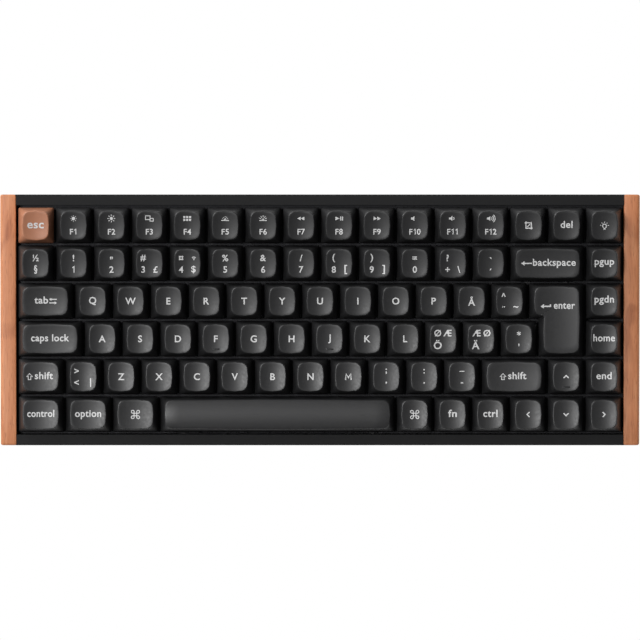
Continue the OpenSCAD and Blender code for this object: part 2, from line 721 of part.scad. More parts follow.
// A block that tapers from the base rectangle [x0, x1] by [y0, y1]. slopes holds the inset for each unit of
// height, [side, front, back]; heights the top's [front, back]; cuts the corner cuts, [at the base, at the top].
module tapered(x0, x1, y0, y1, slopes, heights, cuts, sink) {
    top = max(heights);
    reach = x1 - x0 + y1 - y0;
    low_y = [y0 - slopes[1] * sink, y1 + slopes[2] * sink];
    low_x = [x0 - slopes[0] * sink, x1 + slopes[0] * sink];
    high_x = [x0 + slopes[0] * top, x1 - slopes[0] * top];
    high_y = [y0 + slopes[1] * top, y1 - slopes[2] * top];
    intersection() {
        along_x(x0 - 1, x1 + 1, [[low_y[0], -sink], [low_y[1], -sink],
            [y1 - slopes[2] * heights[1], heights[1]], [y0 + slopes[1] * heights[0], heights[0]]]);
        along_y(y0 - 1, y1 + 1, [[low_x[0], -sink], [low_x[1], -sink], [high_x[1], top], [high_x[0], top]]);
        // corner planes across one diagonal
        rotate([0, 0, 45]) along_y(-reach, reach, [
            [(low_x[0] + low_y[0]) / sqrt(2) + cuts[0], -sink], [(low_x[1] + low_y[1]) / sqrt(2) - cuts[0], -sink],
            [(high_x[1] + high_y[1]) / sqrt(2) - cuts[1], top], [(high_x[0] + high_y[0]) / sqrt(2) + cuts[1], top]]);
        // and across the other
        rotate([0, 0, -45]) along_y(-reach, reach, [
            [(low_x[0] - low_y[1]) / sqrt(2) + cuts[0], -sink], [(low_x[1] - low_y[0]) / sqrt(2) - cuts[0], -sink],
            [(high_x[1] - high_y[0]) / sqrt(2) - cuts[1], top], [(high_x[0] - high_y[1]) / sqrt(2) + cuts[1], top]]);
    }
}

function cap_slopes(heights) = [
    cap_side_inset * 2 / (heights[0] + heights[1]), cap_front_inset / heights[0], cap_back_inset / heights[1]];

function cavity_height(heights) = min(heights) - dish_depth - cap_roof;

// Post on a keycap's underside, with the socket for a stem's cross
module cap_post(roof) {
    difference() {
        translate([0, 0, post_low]) cylinder(d = post_d, h = roof - post_low + 0.3);
        block([-2.03, -0.65, 0], [2.03, 0.65, stem_top + 0.05]);
        block([-0.55, -2.03, 0], [0.55, 2.03, stem_top + 0.05]);
    }
}

// Dish over a top face that runs from [y0, heights[0]] to [y1, heights[1]]: a ball's on a key of one unit,
// and a trough along a wider one
module dish(width, y0, y1, heights) {
    translate([0, (y0 + y1) / 2, (heights[0] + heights[1]) / 2])
        rotate([atan2(heights[1] - heights[0], y1 - y0), 0, 0])
            translate([0, 0, dish_radius - dish_depth])
                if (width > 1)
                    rotate([0, 90, 0]) cylinder(r = dish_radius, h = 2 * width * key_pitch, center = true, $fn = 240);
                else
                    sphere(r = dish_radius, $fn = 120);
}

module cap_shell(width, heights) {
    half = (width * key_pitch - key_gap) / 2;
    slopes = cap_slopes(heights);
    wall = cap_wall;
    roof = cavity_height(heights);
    translate([0, 0, cap_lift]) difference() {
        tapered(-half, half, -cap_low / 2, cap_low / 2, slopes, heights, [cap_corner_low, cap_corner_high], 0);
        tapered(-half + wall, half - wall, -cap_low / 2 + wall, cap_low / 2 - wall, slopes, [roof, roof], [0.2, 0.6], 1);
        if (width < SPACE[2])
            dish(width, -cap_low / 2 + cap_front_inset, cap_low / 2 - cap_back_inset, heights);
    }
    cap_post(cap_lift + roof);
}

module key(k) {
    heights = CAP_HEIGHTS[k[0]];
    colour = k == KEY_BANKS[0][1][0] ? CAP_BROWN : CAP_GREY;
    translate([key_u(k), key_v(k), 0]) {
        color(colour) cap_shell(k[2], heights);
        color(STEM_BROWN) switch_stem();
        if (k[2] >= 2) {
            span = k[2] > 3 ? stab_span_wide : stab_span;
            for (side = [-1, 1]) translate([side * span / 2, 0, 0]) {
                color(STEM_BROWN) stab_stem();
                color(colour) cap_post(cap_lift + cavity_height(heights));
            }
        }
    }
}

// The tall key with a wide upper part: two tapered blocks under one sloping top
module key_enter() {
    heights = [CAP_HEIGHTS[3][0], CAP_HEIGHTS[2][1]];
    half = (ENTER[2] * key_pitch - key_gap) / 2;
    deep = key_pitch - key_gap / 2;
    left = -half - ENTER_SHOULDER * key_pitch;
    notch = key_gap / 2;
    slopes = cap_slopes(heights);
    rise = (heights[1] - heights[0]) / (2 * deep - cap_front_inset - cap_back_inset);
    notch_top = heights[0] + rise * (notch + deep);
    roof = cavity_height(heights);
    wall = cap_wall;
    cuts = [cap_corner_low, cap_corner_high];
    on_plate() translate([key_u(ENTER), key_v(ENTER), 0]) {
        color(CAP_GREY) translate([0, 0, cap_lift]) difference() {
            union() {
                tapered(-half, half, -deep, deep, slopes, heights, cuts, 0);
                tapered(left, half, notch, deep, slopes, [notch_top, heights[1]], cuts, 0);
            }
            tapered(-half + wall, half - wall, -deep + wall, deep - wall, slopes, [roof, roof], [0.2, 0.6], 1);
            tapered(left + wall, half - wall, notch + wall, deep - wall, slopes, [roof, roof], [0.2, 0.6], 1);
        }
        color(CAP_GREY) cap_post(cap_lift + roof);
        color(STEM_BROWN) switch_stem();
        rotate([0, 0, STABS[2][3]]) for (side = [-1, 1]) translate([side * stab_span / 2, 0, 0]) {
            color(STEM_BROWN) stab_stem();
            color(CAP_GREY) cap_post(cap_lift + roof);
        }
    }
}

module key_bank(keys) {
    on_plate() for (k = keys) key(k);
}

bottom_case();
top_frame();
wood_side_left();
wood_side_right();
switch_plate();
plate_foam();
circuit_board();
case_foam();
battery_pack();
port_board();
switch_bases();
switch_covers();
switch_springs();
stabiliser_housings();
case_screws();
rubber_pads();
stabiliser_wire_space();
stabiliser_wire_backspace();
stabiliser_wire_enter();
foot_left();
foot_right();
mode_slider();
system_slider();
key_enter();
for (bank = KEY_BANKS) key_bank(bank[1]);
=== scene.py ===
"""Looks of a compact keyboard with 85 keys, wooden side bars and a black aluminium top frame.

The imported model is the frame. The keycaps with their legends, the switch stems, the springs and the
wooden bars are new pieces, worked out with numpy. The other CAD nodes stay and get their finishes here.

Lengths are millimetres until a mesh is made. The plate's own axes are u to the right, v to the back and
w out of the plate, and they are tilted about X as the plate is.
"""

import json
import logging
import math
from dataclasses import dataclass, field, replace
from enum import Enum
from typing import Sequence

import bpy
import numpy as np
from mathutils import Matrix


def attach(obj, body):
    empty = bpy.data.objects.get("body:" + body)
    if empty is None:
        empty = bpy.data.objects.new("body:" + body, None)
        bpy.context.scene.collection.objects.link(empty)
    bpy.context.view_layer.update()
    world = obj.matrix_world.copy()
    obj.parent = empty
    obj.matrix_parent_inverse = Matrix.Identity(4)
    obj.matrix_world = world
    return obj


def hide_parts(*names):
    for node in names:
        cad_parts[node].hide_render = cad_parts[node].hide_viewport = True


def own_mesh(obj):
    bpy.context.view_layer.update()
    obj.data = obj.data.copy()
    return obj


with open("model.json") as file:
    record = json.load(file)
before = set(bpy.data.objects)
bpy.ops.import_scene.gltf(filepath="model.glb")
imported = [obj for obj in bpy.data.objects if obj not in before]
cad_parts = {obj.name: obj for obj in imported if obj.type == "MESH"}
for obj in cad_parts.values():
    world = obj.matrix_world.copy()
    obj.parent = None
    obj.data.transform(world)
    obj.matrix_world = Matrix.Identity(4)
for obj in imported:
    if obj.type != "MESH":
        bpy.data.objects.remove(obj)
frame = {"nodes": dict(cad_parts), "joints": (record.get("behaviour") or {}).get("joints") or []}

Array = np.ndarray
Point = tuple[float, float]
Colour = tuple[float, float, float]
Stop = tuple[float, Colour]
Shape = tuple[Array, list[Array]]
Material = bpy.types.Material
Socket = bpy.types.NodeSocket

LOG = logging.getLogger("keyboard")
MM = 0.001
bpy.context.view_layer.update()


def linear(red: int, green: int, blue: int) -> Colour:
    """Turns a display colour from 0 to 255 into the linear colour that a shader takes."""
    share = np.array([red, green, blue]) / 255
    low = share / 12.92
    high = ((share + 0.055) / 1.055) ** 2.4
    return tuple(float(x) for x in np.where(share <= 0.04045, low, high))


# ---------- frame ----------


def node_points(name: str) -> Array:
    """Corner points of a CAD node's mesh in the row frame, in millimetres, one row each."""
    mesh = frame["nodes"][name].data
    points = np.empty(len(mesh.vertices) * 3)
    mesh.vertices.foreach_get("co", points)
    return points.reshape(-1, 3) / MM


@dataclass(frozen=True)
class PlateFrame:
    """The switch plate's own frame: its origin in the row frame and its axes u, v and w as rows."""

    origin: Array
    axes: Array

    @classmethod
    def from_joint(cls, joint_name: str) -> "PlateFrame":
        """Takes the tilt from the way a key travels, and the origin from the plate's top face.

        Args:
            joint_name: A joint that slides a key straight into the plate.

        Returns:
            The frame, with its origin on the top face under the middle of the plate.
        """
        joint = next(j for j in frame["joints"] if j["name"] == joint_name)
        normal = -np.array(joint["axis"], float)
        normal /= np.linalg.norm(normal)
        axes = np.array([[1.0, 0.0, 0.0], [0.0, normal[2], -normal[1]], normal])
        local = node_points("switch_plate") @ axes.T
        middle = (local.min(0) + local.max(0)) / 2
        middle[2] = local[:, 2].max()
        return cls(origin=middle @ axes, axes=axes)

    def place(self, points: Array) -> Array:
        """Row-frame points for points given along u, v and w."""
        return self.origin + points @ self.axes

    def local(self, points: Array) -> Array:
        """Points along u, v and w for points given in the row frame."""
        return (points - self.origin) @ self.axes.T


PLATE = PlateFrame.from_joint("press_escape")


@dataclass(frozen=True)
class KeyBody:
    """A CAD body that holds one key or a short run of keys, with its reach along u and v."""

    name: str
    low: Array
    high: Array

    def holds(self, u: float, v: float) -> bool:
        """Whether the point lies over this body."""
        return bool(np.all(self.low[:2] < (u, v)) and np.all(self.high[:2] > (u, v)))

    @property
    def joint(self) -> str:
        """Name of the joint that lets the keys travel."""
        return "press_" + self.name.removeprefix("keys_").removeprefix("key_")


def key_bodies() -> list[KeyBody]:
    """Every body that holds keys, measured in the plate's frame."""
    bodies = []
    for name in frame["nodes"]:
        if name.startswith("key"):
            local = PLATE.local(node_points(name))
            bodies.append(KeyBody(name, local.min(0), local.max(0)))
    return bodies


# ---------- meshes ----------


@dataclass
class Patch:
    """One surface: its points in millimetres, blocks of faces with equally many corners, and its finish."""

    points: Array
    faces: list[Array]
    finish: int = 0
    smooth: bool = True


def make_piece(name: str, patches: Sequence[Patch], finishes: Sequence[Material]) -> bpy.types.Object:
    """Joins patches into one mesh object at the origin.

    Args:
        name: Name of the piece.
        patches: Surfaces in the row frame, in millimetres.
        finishes: Materials that the patches' finish numbers point at.

    Returns:
        The object, linked to the scene.
    """
    faces, finish, smooth, first = [], [], [], 0
    for patch in patches:
        for block in patch.faces:
            faces += (block + first).tolist()
            finish += [patch.finish] * len(block)
            smooth += [patch.smooth] * len(block)
        first += len(patch.points)
    mesh = bpy.data.meshes.new(name)
    mesh.from_pydata((np.vstack([patch.points for patch in patches]) * MM).tolist(), [], faces)
    for material in finishes:
        mesh.materials.append(material)
    mesh.polygons.foreach_set("material_index", finish)
    mesh.polygons.foreach_set("use_smooth", smooth)
    mesh.update()
    piece = bpy.data.objects.new(name, mesh)
    bpy.context.scene.collection.objects.link(piece)
    LOG.info("%s: %d faces", name, len(faces))
    return piece


def closed_rings(rings: Array, first: Array, last: Array, smooth: bool = True) -> Patch:
    """Skins a stack of rings and closes it with a pole at each end.

    Ring k and ring k + 1 are joined by four-cornered faces, and each end ring by a fan to its pole. The
    rings run anticlockwise for an eye at the first pole, so that the faces point outwards.

    Args:
        rings: Points of shape (rings, points round each ring, 3).
        first: Pole before the first ring.
        last: Pole after the last ring.
        smooth: Whether the patch is shaded smooth.

    Returns:
        The closed patch.
    """
    count, around = rings.shape[:2]
    here = np.arange(count * around).reshape(count, around)
    after = np.roll(here, -1, axis=1)
    walls = np.stack([here[:-1], here[1:], after[1:], after[:-1]], -1).reshape(-1, 4)
    start = np.full(around, count * around)
    opening = np.stack([start, here[0], after[0]], -1)
    closing = np.stack([start + 1, after[-1], here[-1]], -1)
    points = np.vstack([rings.reshape(-1, 3), [first], [last]])
    return Patch(points, [walls, np.vstack([opening, closing])], smooth=smooth)


@dataclass(frozen=True)
class Outline:
    """A closed outline with square corners that are rounded, listed anticlockwise.

    corners are the sharp corner points, radii the rounding of each, and bulge how far each side swells.
    """

    corners: Array
    radii: Array
    bulge: float = 0.0

    @classmethod
    def rectangle(cls, x: Point, y: Point, radius: float, bulge: float = 0.0) -> "Outline":
        """A rectangle from its lowest and highest x and y."""
        corners = np.array([(x[0], y[0]), (x[1], y[0]), (x[1], y[1]), (x[0], y[1])], float)
        return cls(corners, np.full(4, radius), bulge)

    def directions(self) -> tuple[Array, Array]:
        """Unit directions in which the outline arrives at each corner and leaves it."""
        leaving = np.roll(self.corners, -1, axis=0) - self.corners
        leaving = leaving / np.linalg.norm(leaving, axis=1)[:, None]
        return np.roll(leaving, 1, axis=0), leaving

    def inset(self, side: float, front: float | None = None, back: float | None = None) -> "Outline":
        """Draws the outline in, by side at the left and right, and by front and back along y.

        A corner moves in by the depth of each of its two sides. An outer corner's radius shrinks by the
        side depth, and an inner corner's grows by it.

        Args:
            side: Depth at the left and right sides.
            front: Depth at sides that face the front, the side depth if None.
            back: Depth at sides that face the back, the side depth if None.

        Returns:
            The smaller outline.
        """
        arriving, leaving = self.directions()
        front = side if front is None else front
        back = side if back is None else back
        corners = self.corners.copy()
        for direction in (arriving, leaving):
            outward = np.stack([direction[:, 1], -direction[:, 0]], -1)
            along_y = np.where(outward[:, 1] > 0, back, front)
            depth = np.where(np.abs(outward[:, 0]) > 0.5, side, along_y)
            corners -= outward * depth[:, None]
        turn = arriving[:, 0] * leaving[:, 1] - arriving[:, 1] * leaving[:, 0]
        radii = np.maximum(self.radii - side * np.sign(turn), 0.05)
        return replace(self, corners=corners, radii=radii)

    def points(self, arc: int, spans: Sequence[int]) -> Array:
        """Points along the outline.

        A rounded corner is a quarter circle. A side runs straight between two of them and swells by
        bulge times the squared sine of its run, which leaves both ends in line with the arcs.

        Args:
            arc: Steps along each rounded corner.
            spans: Steps along each side, one number for each corner that a side leaves.

        Returns:
            Points of shape (n, 2).
        """
        arriving, leaving = self.directions()
        radius = self.radii[:, None]
        centre = self.corners - arriving * radius + leaving * radius
        phi = np.linspace(0, math.pi / 2, arc + 1)[None, :, None]
        arcs = centre[:, None] + radius[:, None] * (
            arriving[:, None] * np.sin(phi) - leaving[:, None] * np.cos(phi)
        )
        runs = []
        for i, span in enumerate(spans):
            start = arcs[i, -1]
            end = arcs[(i + 1) % len(arcs), 0]
            run = np.linspace(0, 1, span + 1)[1:-1, None]
            swell = np.array([leaving[i, 1], -leaving[i, 0]]) * self.bulge
            runs += [arcs[i], start + (end - start) * run + swell * np.sin(math.pi * run) ** 2]
        return np.vstack(runs)


def at_height(points: Array, height: float | Array) -> Array:
    """Adds a height to flat points."""
    return np.column_stack([points, np.broadcast_to(height, len(points))])


def block_patch(x: Point, y: Point, w: Point, edge: float = 0.15) -> Patch:
    """A box with small bevels: four rounded outlines stacked from the top down."""
    spans = (1, 1, 1, 1)
    outer = Outline.rectangle(x, y, 2 * edge)
    wide = outer.points(2, spans)
    narrow = outer.inset(edge).points(2, spans)
    middle = ((x[0] + x[1]) / 2, (y[0] + y[1]) / 2)
    levels = [(narrow, w[1]), (wide, w[1] - edge), (wide, w[0] + edge), (narrow, w[0])]
    rings = np.stack([at_height(flat, height) for flat, height in levels])
    return closed_rings(rings, (*middle, w[1]), (*middle, w[0]), smooth=False)


def ring_patch(centre: Point, profile: Sequence[Point], around: int = 24) -> Patch:
    """A turned ring: a closed profile of (radius, height) carried round an upright axis.

    The profile runs clockwise in radius and height, so that the faces point outwards.
    """
    angle = np.linspace(0, 2 * math.pi, around, endpoint=False)
    radius, height = np.array(profile, float).T
    x = centre[0] + radius[:, None] * np.cos(angle)
    y = centre[1] + radius[:, None] * np.sin(angle)
    points = np.stack([x, y, np.broadcast_to(height[:, None], x.shape)], -1)
    here = np.arange(points[..., 0].size).reshape(len(profile), around)
    below = np.roll(here, -1, axis=0)
    faces = np.stack([here, below, np.roll(below, -1, axis=1), np.roll(here, -1, axis=1)], -1)
    return Patch(points.reshape(-1, 3), [faces.reshape(-1, 4)], smooth=False)


def moved(patch: Patch, u: float, v: float, w: float = 0.0) -> Patch:
    """A patch of the plate's frame, shifted along u, v and w and placed in the row frame."""
    return replace(patch, points=PLATE.place(patch.points + (u, v, w)))


# ---------- finishes ----------


class Shader:
    """A material under construction: a Principled shader and the nodes that feed it."""

    def __init__(self, name: str) -> None:
        """Starts a material of that name."""
        self.material = bpy.data.materials.new(name)
        self.material.use_nodes = True
        self.tree = self.material.node_tree
        self.principled = self.tree.nodes["Principled BSDF"]
        self.object_space = self.tree.nodes.new("ShaderNodeTexCoord").outputs["Object"]

    def set(self, **values: float | Colour) -> None:
        """Sets constants on the shader's own sockets; words of a socket's name are joined by underscores."""
        for key, value in values.items():
            socket = self.principled.inputs[key.replace("_", " ")]
            socket.default_value = (*value, 1.0) if isinstance(value, tuple) else value

    def stretched(self, scale: Colour) -> Socket:
        """Object coordinates, stretched by a scale along each axis."""
        mapping = self.tree.nodes.new("ShaderNodeMapping")
        mapping.inputs["Scale"].default_value = scale
        self.tree.links.new(self.object_space, mapping.inputs["Vector"])
        return mapping.outputs["Vector"]

    def noise(self, scale: float | Colour, detail: float = 2.0, distortion: float = 0.0) -> Socket:
        """Noise with scale features to a metre, or with one scale along each axis."""
        node = self.tree.nodes.new("ShaderNodeTexNoise")
        vector = self.stretched(scale) if isinstance(scale, tuple) else self.object_space
        node.inputs["Scale"].default_value = 1.0 if isinstance(scale, tuple) else scale
        node.inputs["Detail"].default_value = detail
        node.inputs["Distortion"].default_value = distortion
        self.tree.links.new(vector, node.inputs["Vector"])
        return node.outputs["Fac"]

    def ramp(self, value: Socket, stops: Sequence[Stop]) -> Socket:
        """Colours picked from stops of (place, colour) by a value."""
        node = self.tree.nodes.new("ShaderNodeValToRGB")
        elements = node.color_ramp.elements
        while len(elements) < len(stops):
            elements.new(0.5)
        for element, (place, colour) in zip(elements, stops):
            element.position = place
            element.color = (*colour, 1.0)
        self.tree.links.new(value, node.inputs["Fac"])
        return node.outputs["Color"]

    def spread(self, value: Socket, low: float, high: float) -> Socket:
        """Moves a value from the middle half of 0 to 1 onto low to high."""
        node = self.tree.nodes.new("ShaderNodeMapRange")
        node.inputs["From Min"].default_value = 0.25
        node.inputs["From Max"].default_value = 0.75
        node.inputs["To Min"].default_value = low
        node.inputs["To Max"].default_value = high
        self.tree.links.new(value, node.inputs["Value"])
        return node.outputs["Result"]

    def multiply(self, first: Socket, second: Socket) -> Socket:
        """Multiplies two colours."""
        node = self.tree.nodes.new("ShaderNodeMix")
        node.data_type = "RGBA"
        node.blend_type = "MULTIPLY"
        node.inputs["Factor"].default_value = 1.0
        ports = {port.identifier: port for port in [*node.inputs, *node.outputs]}
        self.tree.links.new(first, ports["A_Color"])
        self.tree.links.new(second, ports["B_Color"])
        return ports["Result_Color"]

    def feed(self, socket: str, value: Socket) -> None:
        """Joins a value to one of the shader's sockets."""
        self.tree.links.new(value, self.principled.inputs[socket])

    def bump(self, value: Socket, depth: float, strength: float) -> None:
        """Raises the surface by up to depth millimetres where the value is high."""
        node = self.tree.nodes.new("ShaderNodeBump")
        node.inputs["Strength"].default_value = strength
        node.inputs["Distance"].default_value = depth * MM
        self.tree.links.new(value, node.inputs["Height"])
        self.feed("Normal", node.outputs["Normal"])


@dataclass(frozen=True)
class Finish:
    """A finish: its name, its colour and how matt it is.

    mottle is how much the colour varies, as a share, and scatter how much the roughness does.
    """

    name: str
    colour: Colour
    roughness: float = 0.5
    mottle: float = 0.12
    scatter: float = 0.05

    def tones(self) -> list[Stop]:
        """The colour's darkest and lightest tones, as stops of a ramp."""
        darker = tuple(x * (1 - self.mottle) for x in self.colour)
        lighter = tuple(min(1.0, x * (1 + self.mottle)) for x in self.colour)
        return [(0.3, darker), (0.7, lighter)]

    def make(self) -> Material:
        """Builds the material."""
        raise NotImplementedError


@dataclass(frozen=True)
class MouldedPlastic(Finish):
    """Moulded plastic with a fine even grain. grain is the number of grains to a metre."""

    grain: float = 5200.0
    depth: float = 0.02
    clouds: float = 260.0
    wear: float = 900.0

    def make(self) -> Material:
        """Clouds the colour a little, and bumps the surface with the mould's grain."""
        shader = Shader(self.name)
        shader.feed("Base Color", shader.ramp(shader.noise(self.clouds, 3.0), self.tones()))
        low, high = self.roughness - self.scatter, self.roughness + self.scatter
        shader.feed("Roughness", shader.spread(shader.noise(self.wear), low, high))
        shader.bump(shader.noise(self.grain, 1.0), self.depth, 0.35)
        return shader.material


@dataclass(frozen=True)
class BlastedMetal(Finish):
    """Anodised aluminium, blasted with fine beads before it was dyed."""

    metallic: float = 0.35
    specular: float = 0.5
    scatter: float = 0.06
    grain: float = 7000.0
    depth: float = 0.02
    wear: float = 1500.0

    def make(self) -> Material:
        """Lets fine beads sparkle in colour, roughness and height."""
        shader = Shader(self.name)
        shader.set(Metallic=self.metallic, Specular_IOR_Level=self.specular)
        beads = shader.noise(self.grain, 1.0)
        shader.feed("Base Color", shader.ramp(beads, self.tones()))
        low, high = self.roughness - self.scatter, self.roughness + self.scatter
        shader.feed("Roughness", shader.spread(shader.noise(self.wear), low, high))
        shader.bump(beads, self.depth, 0.4)
        return shader.material


@dataclass(frozen=True)
class Wood(Finish):
    """Oiled hardwood with its grain along Y: light and dark streaks, short pores and broad darker figure."""

    light: Colour = (0.0, 0.0, 0.0)
    dark: Colour = (0.0, 0.0, 0.0)
    streaks: Colour = (700.0, 16.0, 700.0)
    pores: Colour = (2600.0, 110.0, 2600.0)
    figure: Colour = (70.0, 26.0, 60.0)
    figure_tones: tuple[Stop, ...] = (
        (0.36, (0.78, 0.71, 0.66)),
        (0.46, (1.0, 1.0, 1.0)),
        (0.9, (1.06, 1.08, 1.1)),
    )
    pore_tones: tuple[Stop, ...] = ((0.3, (0.72, 0.66, 0.6)), (0.42, (1.0, 1.0, 1.0)))
    pore_depth: float = 0.05

    def make(self) -> Material:
        """Mixes streaks into the broad figure, and darkens and sinks the pores."""
        shader = Shader(self.name)
        streak_tones = [(0.3, self.dark), (0.5, self.colour), (0.74, self.light)]
        streaks = shader.ramp(shader.noise(self.streaks, 4.0, 0.4), streak_tones)
        broad = shader.ramp(shader.noise(self.figure, 2.0, 1.2), self.figure_tones)
        pores = shader.noise(self.pores, 2.0)
        pitted = shader.ramp(pores, self.pore_tones)
        shader.feed("Base Color", shader.multiply(shader.multiply(streaks, broad), pitted))
        shader.feed("Roughness", shader.spread(streaks, self.roughness + 0.08, self.roughness - 0.05))
        shader.bump(pores, self.pore_depth, 0.4)
        return shader.material


@dataclass(frozen=True)
class BareMetal(Finish):
    """Bare or plated metal with fine drawing lines along one axis."""

    lines: Colour = (900.0, 60.0, 900.0)

    def make(self) -> Material:
        """Varies tone and roughness along the drawing lines."""
        shader = Shader(self.name)
        shader.set(Metallic=1.0)
        lines = shader.noise(self.lines, 3.0)
        shader.feed("Base Color", shader.ramp(lines, self.tones()))
        shader.feed("Roughness", shader.spread(lines, self.roughness - 0.08, self.roughness + 0.1))
        shader.bump(lines, 0.01, 0.2)
        return shader.material


@dataclass(frozen=True)
class Foam(Finish):
    """Open-celled foam or soft rubber: dull, with pits of cell size. cells is their number to a metre."""

    cells: float = 1800.0
    depth: float = 0.25

    def make(self) -> Material:
        """Darkens and sinks the cells of a Voronoi pattern."""
        shader = Shader(self.name)
        shader.set(Roughness=self.roughness)
        cells = shader.tree.nodes.new("ShaderNodeTexVoronoi")
        cells.inputs["Scale"].default_value = self.cells
        shader.tree.links.new(shader.object_space, cells.inputs["Vector"])
        shader.feed("Base Color", shader.ramp(cells.outputs["Distance"], self.tones()))
        shader.bump(cells.outputs["Distance"], self.depth, 0.5)
        return shader.material


@dataclass(frozen=True)
class BoardLacquer(Finish):
    """Solder lacquer over copper tracks, which show as faint straight ridges."""

    tracks: float = 500.0

    def make(self) -> Material:
        """Lightens and raises square cells that stand for track runs under the lacquer."""
        shader = Shader(self.name)
        shader.set(Roughness=self.roughness, Coat_Weight=0.3)
        runs = shader.tree.nodes.new("ShaderNodeTexBrick")
        runs.inputs["Scale"].default_value = self.tracks
        darker, lighter = (stop[1] for stop in self.tones())
        runs.inputs["Color1"].default_value = (*darker, 1.0)
        runs.inputs["Color2"].default_value = (*self.colour, 1.0)
        runs.inputs["Mortar"].default_value = (*lighter, 1.0)
        shader.tree.links.new(shader.object_space, runs.inputs["Vector"])
        shader.feed("Base Color", runs.outputs["Color"])
        shader.bump(runs.outputs["Fac"], 0.03, 0.4)
        return shader.material


class Palette:
    """Every material of the keyboard, made once."""

    def __init__(self) -> None:
        """Builds the materials."""
        self.cap_grey = MouldedPlastic("cap_grey", linear(36, 36, 37), 0.42, 0.05).make()
        self.cap_brown = MouldedPlastic("cap_brown", linear(167, 112, 84), 0.44, 0.06).make()
        self.legend = MouldedPlastic("legend", linear(205, 205, 205), 0.45, 0.02).make()
        light, dark = linear(207, 140, 97), linear(186, 116, 75)
        self.wood = Wood("wood", linear(198, 127, 84), 0.42, light=light, dark=dark).make()
        black, shine = linear(20, 20, 21), {"metallic": 0.2, "specular": 0.24}
        self.anodised = BlastedMetal("anodised_frame", black, 0.55, 0.3, **shine).make()
        spark = {"grain": 2600.0, "depth": 0.05}
        self.case = MouldedPlastic("case_plastic", linear(38, 38, 40), 0.55, 0.1, **spark).make()
        self.housing = MouldedPlastic("switch_housing", linear(30, 30, 32), 0.5, 0.1).make()
        self.stem = MouldedPlastic("switch_stem", linear(112, 66, 40), 0.4, 0.08).make()
        self.slider = MouldedPlastic("slider_plastic", linear(58, 58, 60), 0.45, 0.08).make()
        self.plate = BareMetal("plate_steel", linear(46, 46, 48), 0.5, 0.15).make()
        self.steel = BareMetal("bright_steel", linear(196, 198, 202), 0.28, 0.1).make()
        turned_lines, crumple = (900.0, 900.0, 90.0), (160.0, 160.0, 160.0)
        self.screw = BareMetal("screw_steel", linear(88, 88, 92), 0.35, 0.15, lines=turned_lines).make()
        self.foam = Foam("foam", linear(48, 48, 50), 0.95, 0.3).make()
        self.rubber = Foam("rubber", linear(30, 30, 31), 0.8, 0.12, cells=3000.0, depth=0.06).make()
        self.board = BoardLacquer("board", linear(22, 46, 38), 0.35, 0.35).make()
        self.chip = MouldedPlastic("chip", linear(34, 34, 36), 0.6, 0.1, grain=4000.0).make()
        self.foil = BareMetal("battery_foil", linear(186, 188, 190), 0.4, 0.08, lines=crumple).make()
        LOG.info("made %d finishes", len(vars(self)))


# ---------- legends ----------

# Width of an icon's lines, and the height of a capital that icons are drawn to go with
STROKE = 0.5
ICON_HEIGHT = 3.3


def arc_points(
    radius: float, start: float, sweep: float, centre: Point = (0.0, 0.0), steps: int = 12
) -> Array:
    """Points on an arc of a circle: centre plus radius times (cosine, sine) of even angles, in degrees."""
    angle = np.radians(np.linspace(start, start + sweep, steps + 1))
    return np.array(centre) + radius * np.stack([np.cos(angle), np.sin(angle)], -1)


def flat_prism(points: Array, faces: list[Array], rim: Array) -> Shape:
    """Gives a flat shape a back face and walls.

    Args:
        points: Flat points of shape (n, 2).
        faces: Blocks of faces that point up.
        rim: Indexes round the shape's edge, anticlockwise.

    Returns:
        Points of shape (2n, 3), with height 1 in front and 0 behind, and blocks of faces.
    """
    count = len(points)
    after = np.roll(rim, -1)
    walls = np.stack([rim, rim + count, after + count, after], -1)
    solid = np.vstack([at_height(points, 1.0), at_height(points, 0.0)])
    return solid, [*faces, *[block[:, ::-1] + count for block in faces], walls]


def fill(points: Sequence[Point] | Array) -> Shape:
    """A filled shape from the points round it, in either direction."""
    points = np.array(points, float)
    after = np.roll(points, -1, axis=0)
    if np.sum(points[:, 0] * after[:, 1] - points[:, 1] * after[:, 0]) < 0:
        points = points[::-1]
    rim = np.arange(len(points))
    return flat_prism(points, [rim[None]], rim)


def stroke(points: Sequence[Point] | Array, width: float = STROKE, closed: bool = False) -> Shape:
    """A line of even width: each point moves half the width to both sides, along its corner's mitre."""
    points = np.array(points, float)
    ahead = np.roll(points, -1, axis=0) - points
    if not closed:
        ahead[-1] = ahead[-2]
    ahead /= np.linalg.norm(ahead, axis=1)[:, None]
    behind = np.roll(ahead, 1, axis=0)
    if not closed:
        behind[0] = ahead[0]
    left = np.stack([-ahead[:, 1], ahead[:, 0]], -1)
    mitre = left + np.stack([-behind[:, 1], behind[:, 0]], -1)
    mitre /= np.maximum(np.sum(mitre * left, axis=1), 0.5)[:, None]
    count = len(points)
    both = np.vstack([points - mitre * width / 2, points + mitre * width / 2])
    here = np.arange(count if closed else count - 1)
    there = (here + 1) % count
    strip = np.stack([here, there, there + count, here + count], -1)
    if not closed:
        return flat_prism(both, [strip], np.concatenate([np.arange(count), np.arange(count)[::-1] + count]))
    solid = np.vstack([at_height(both, 1.0), at_height(both, 0.0)])
    outer = np.stack([here, here + 2 * count, there + 2 * count, there], -1)
    inner = outer[:, ::-1] + count
    return solid, [strip, strip[:, ::-1] + 2 * count, outer, inner]


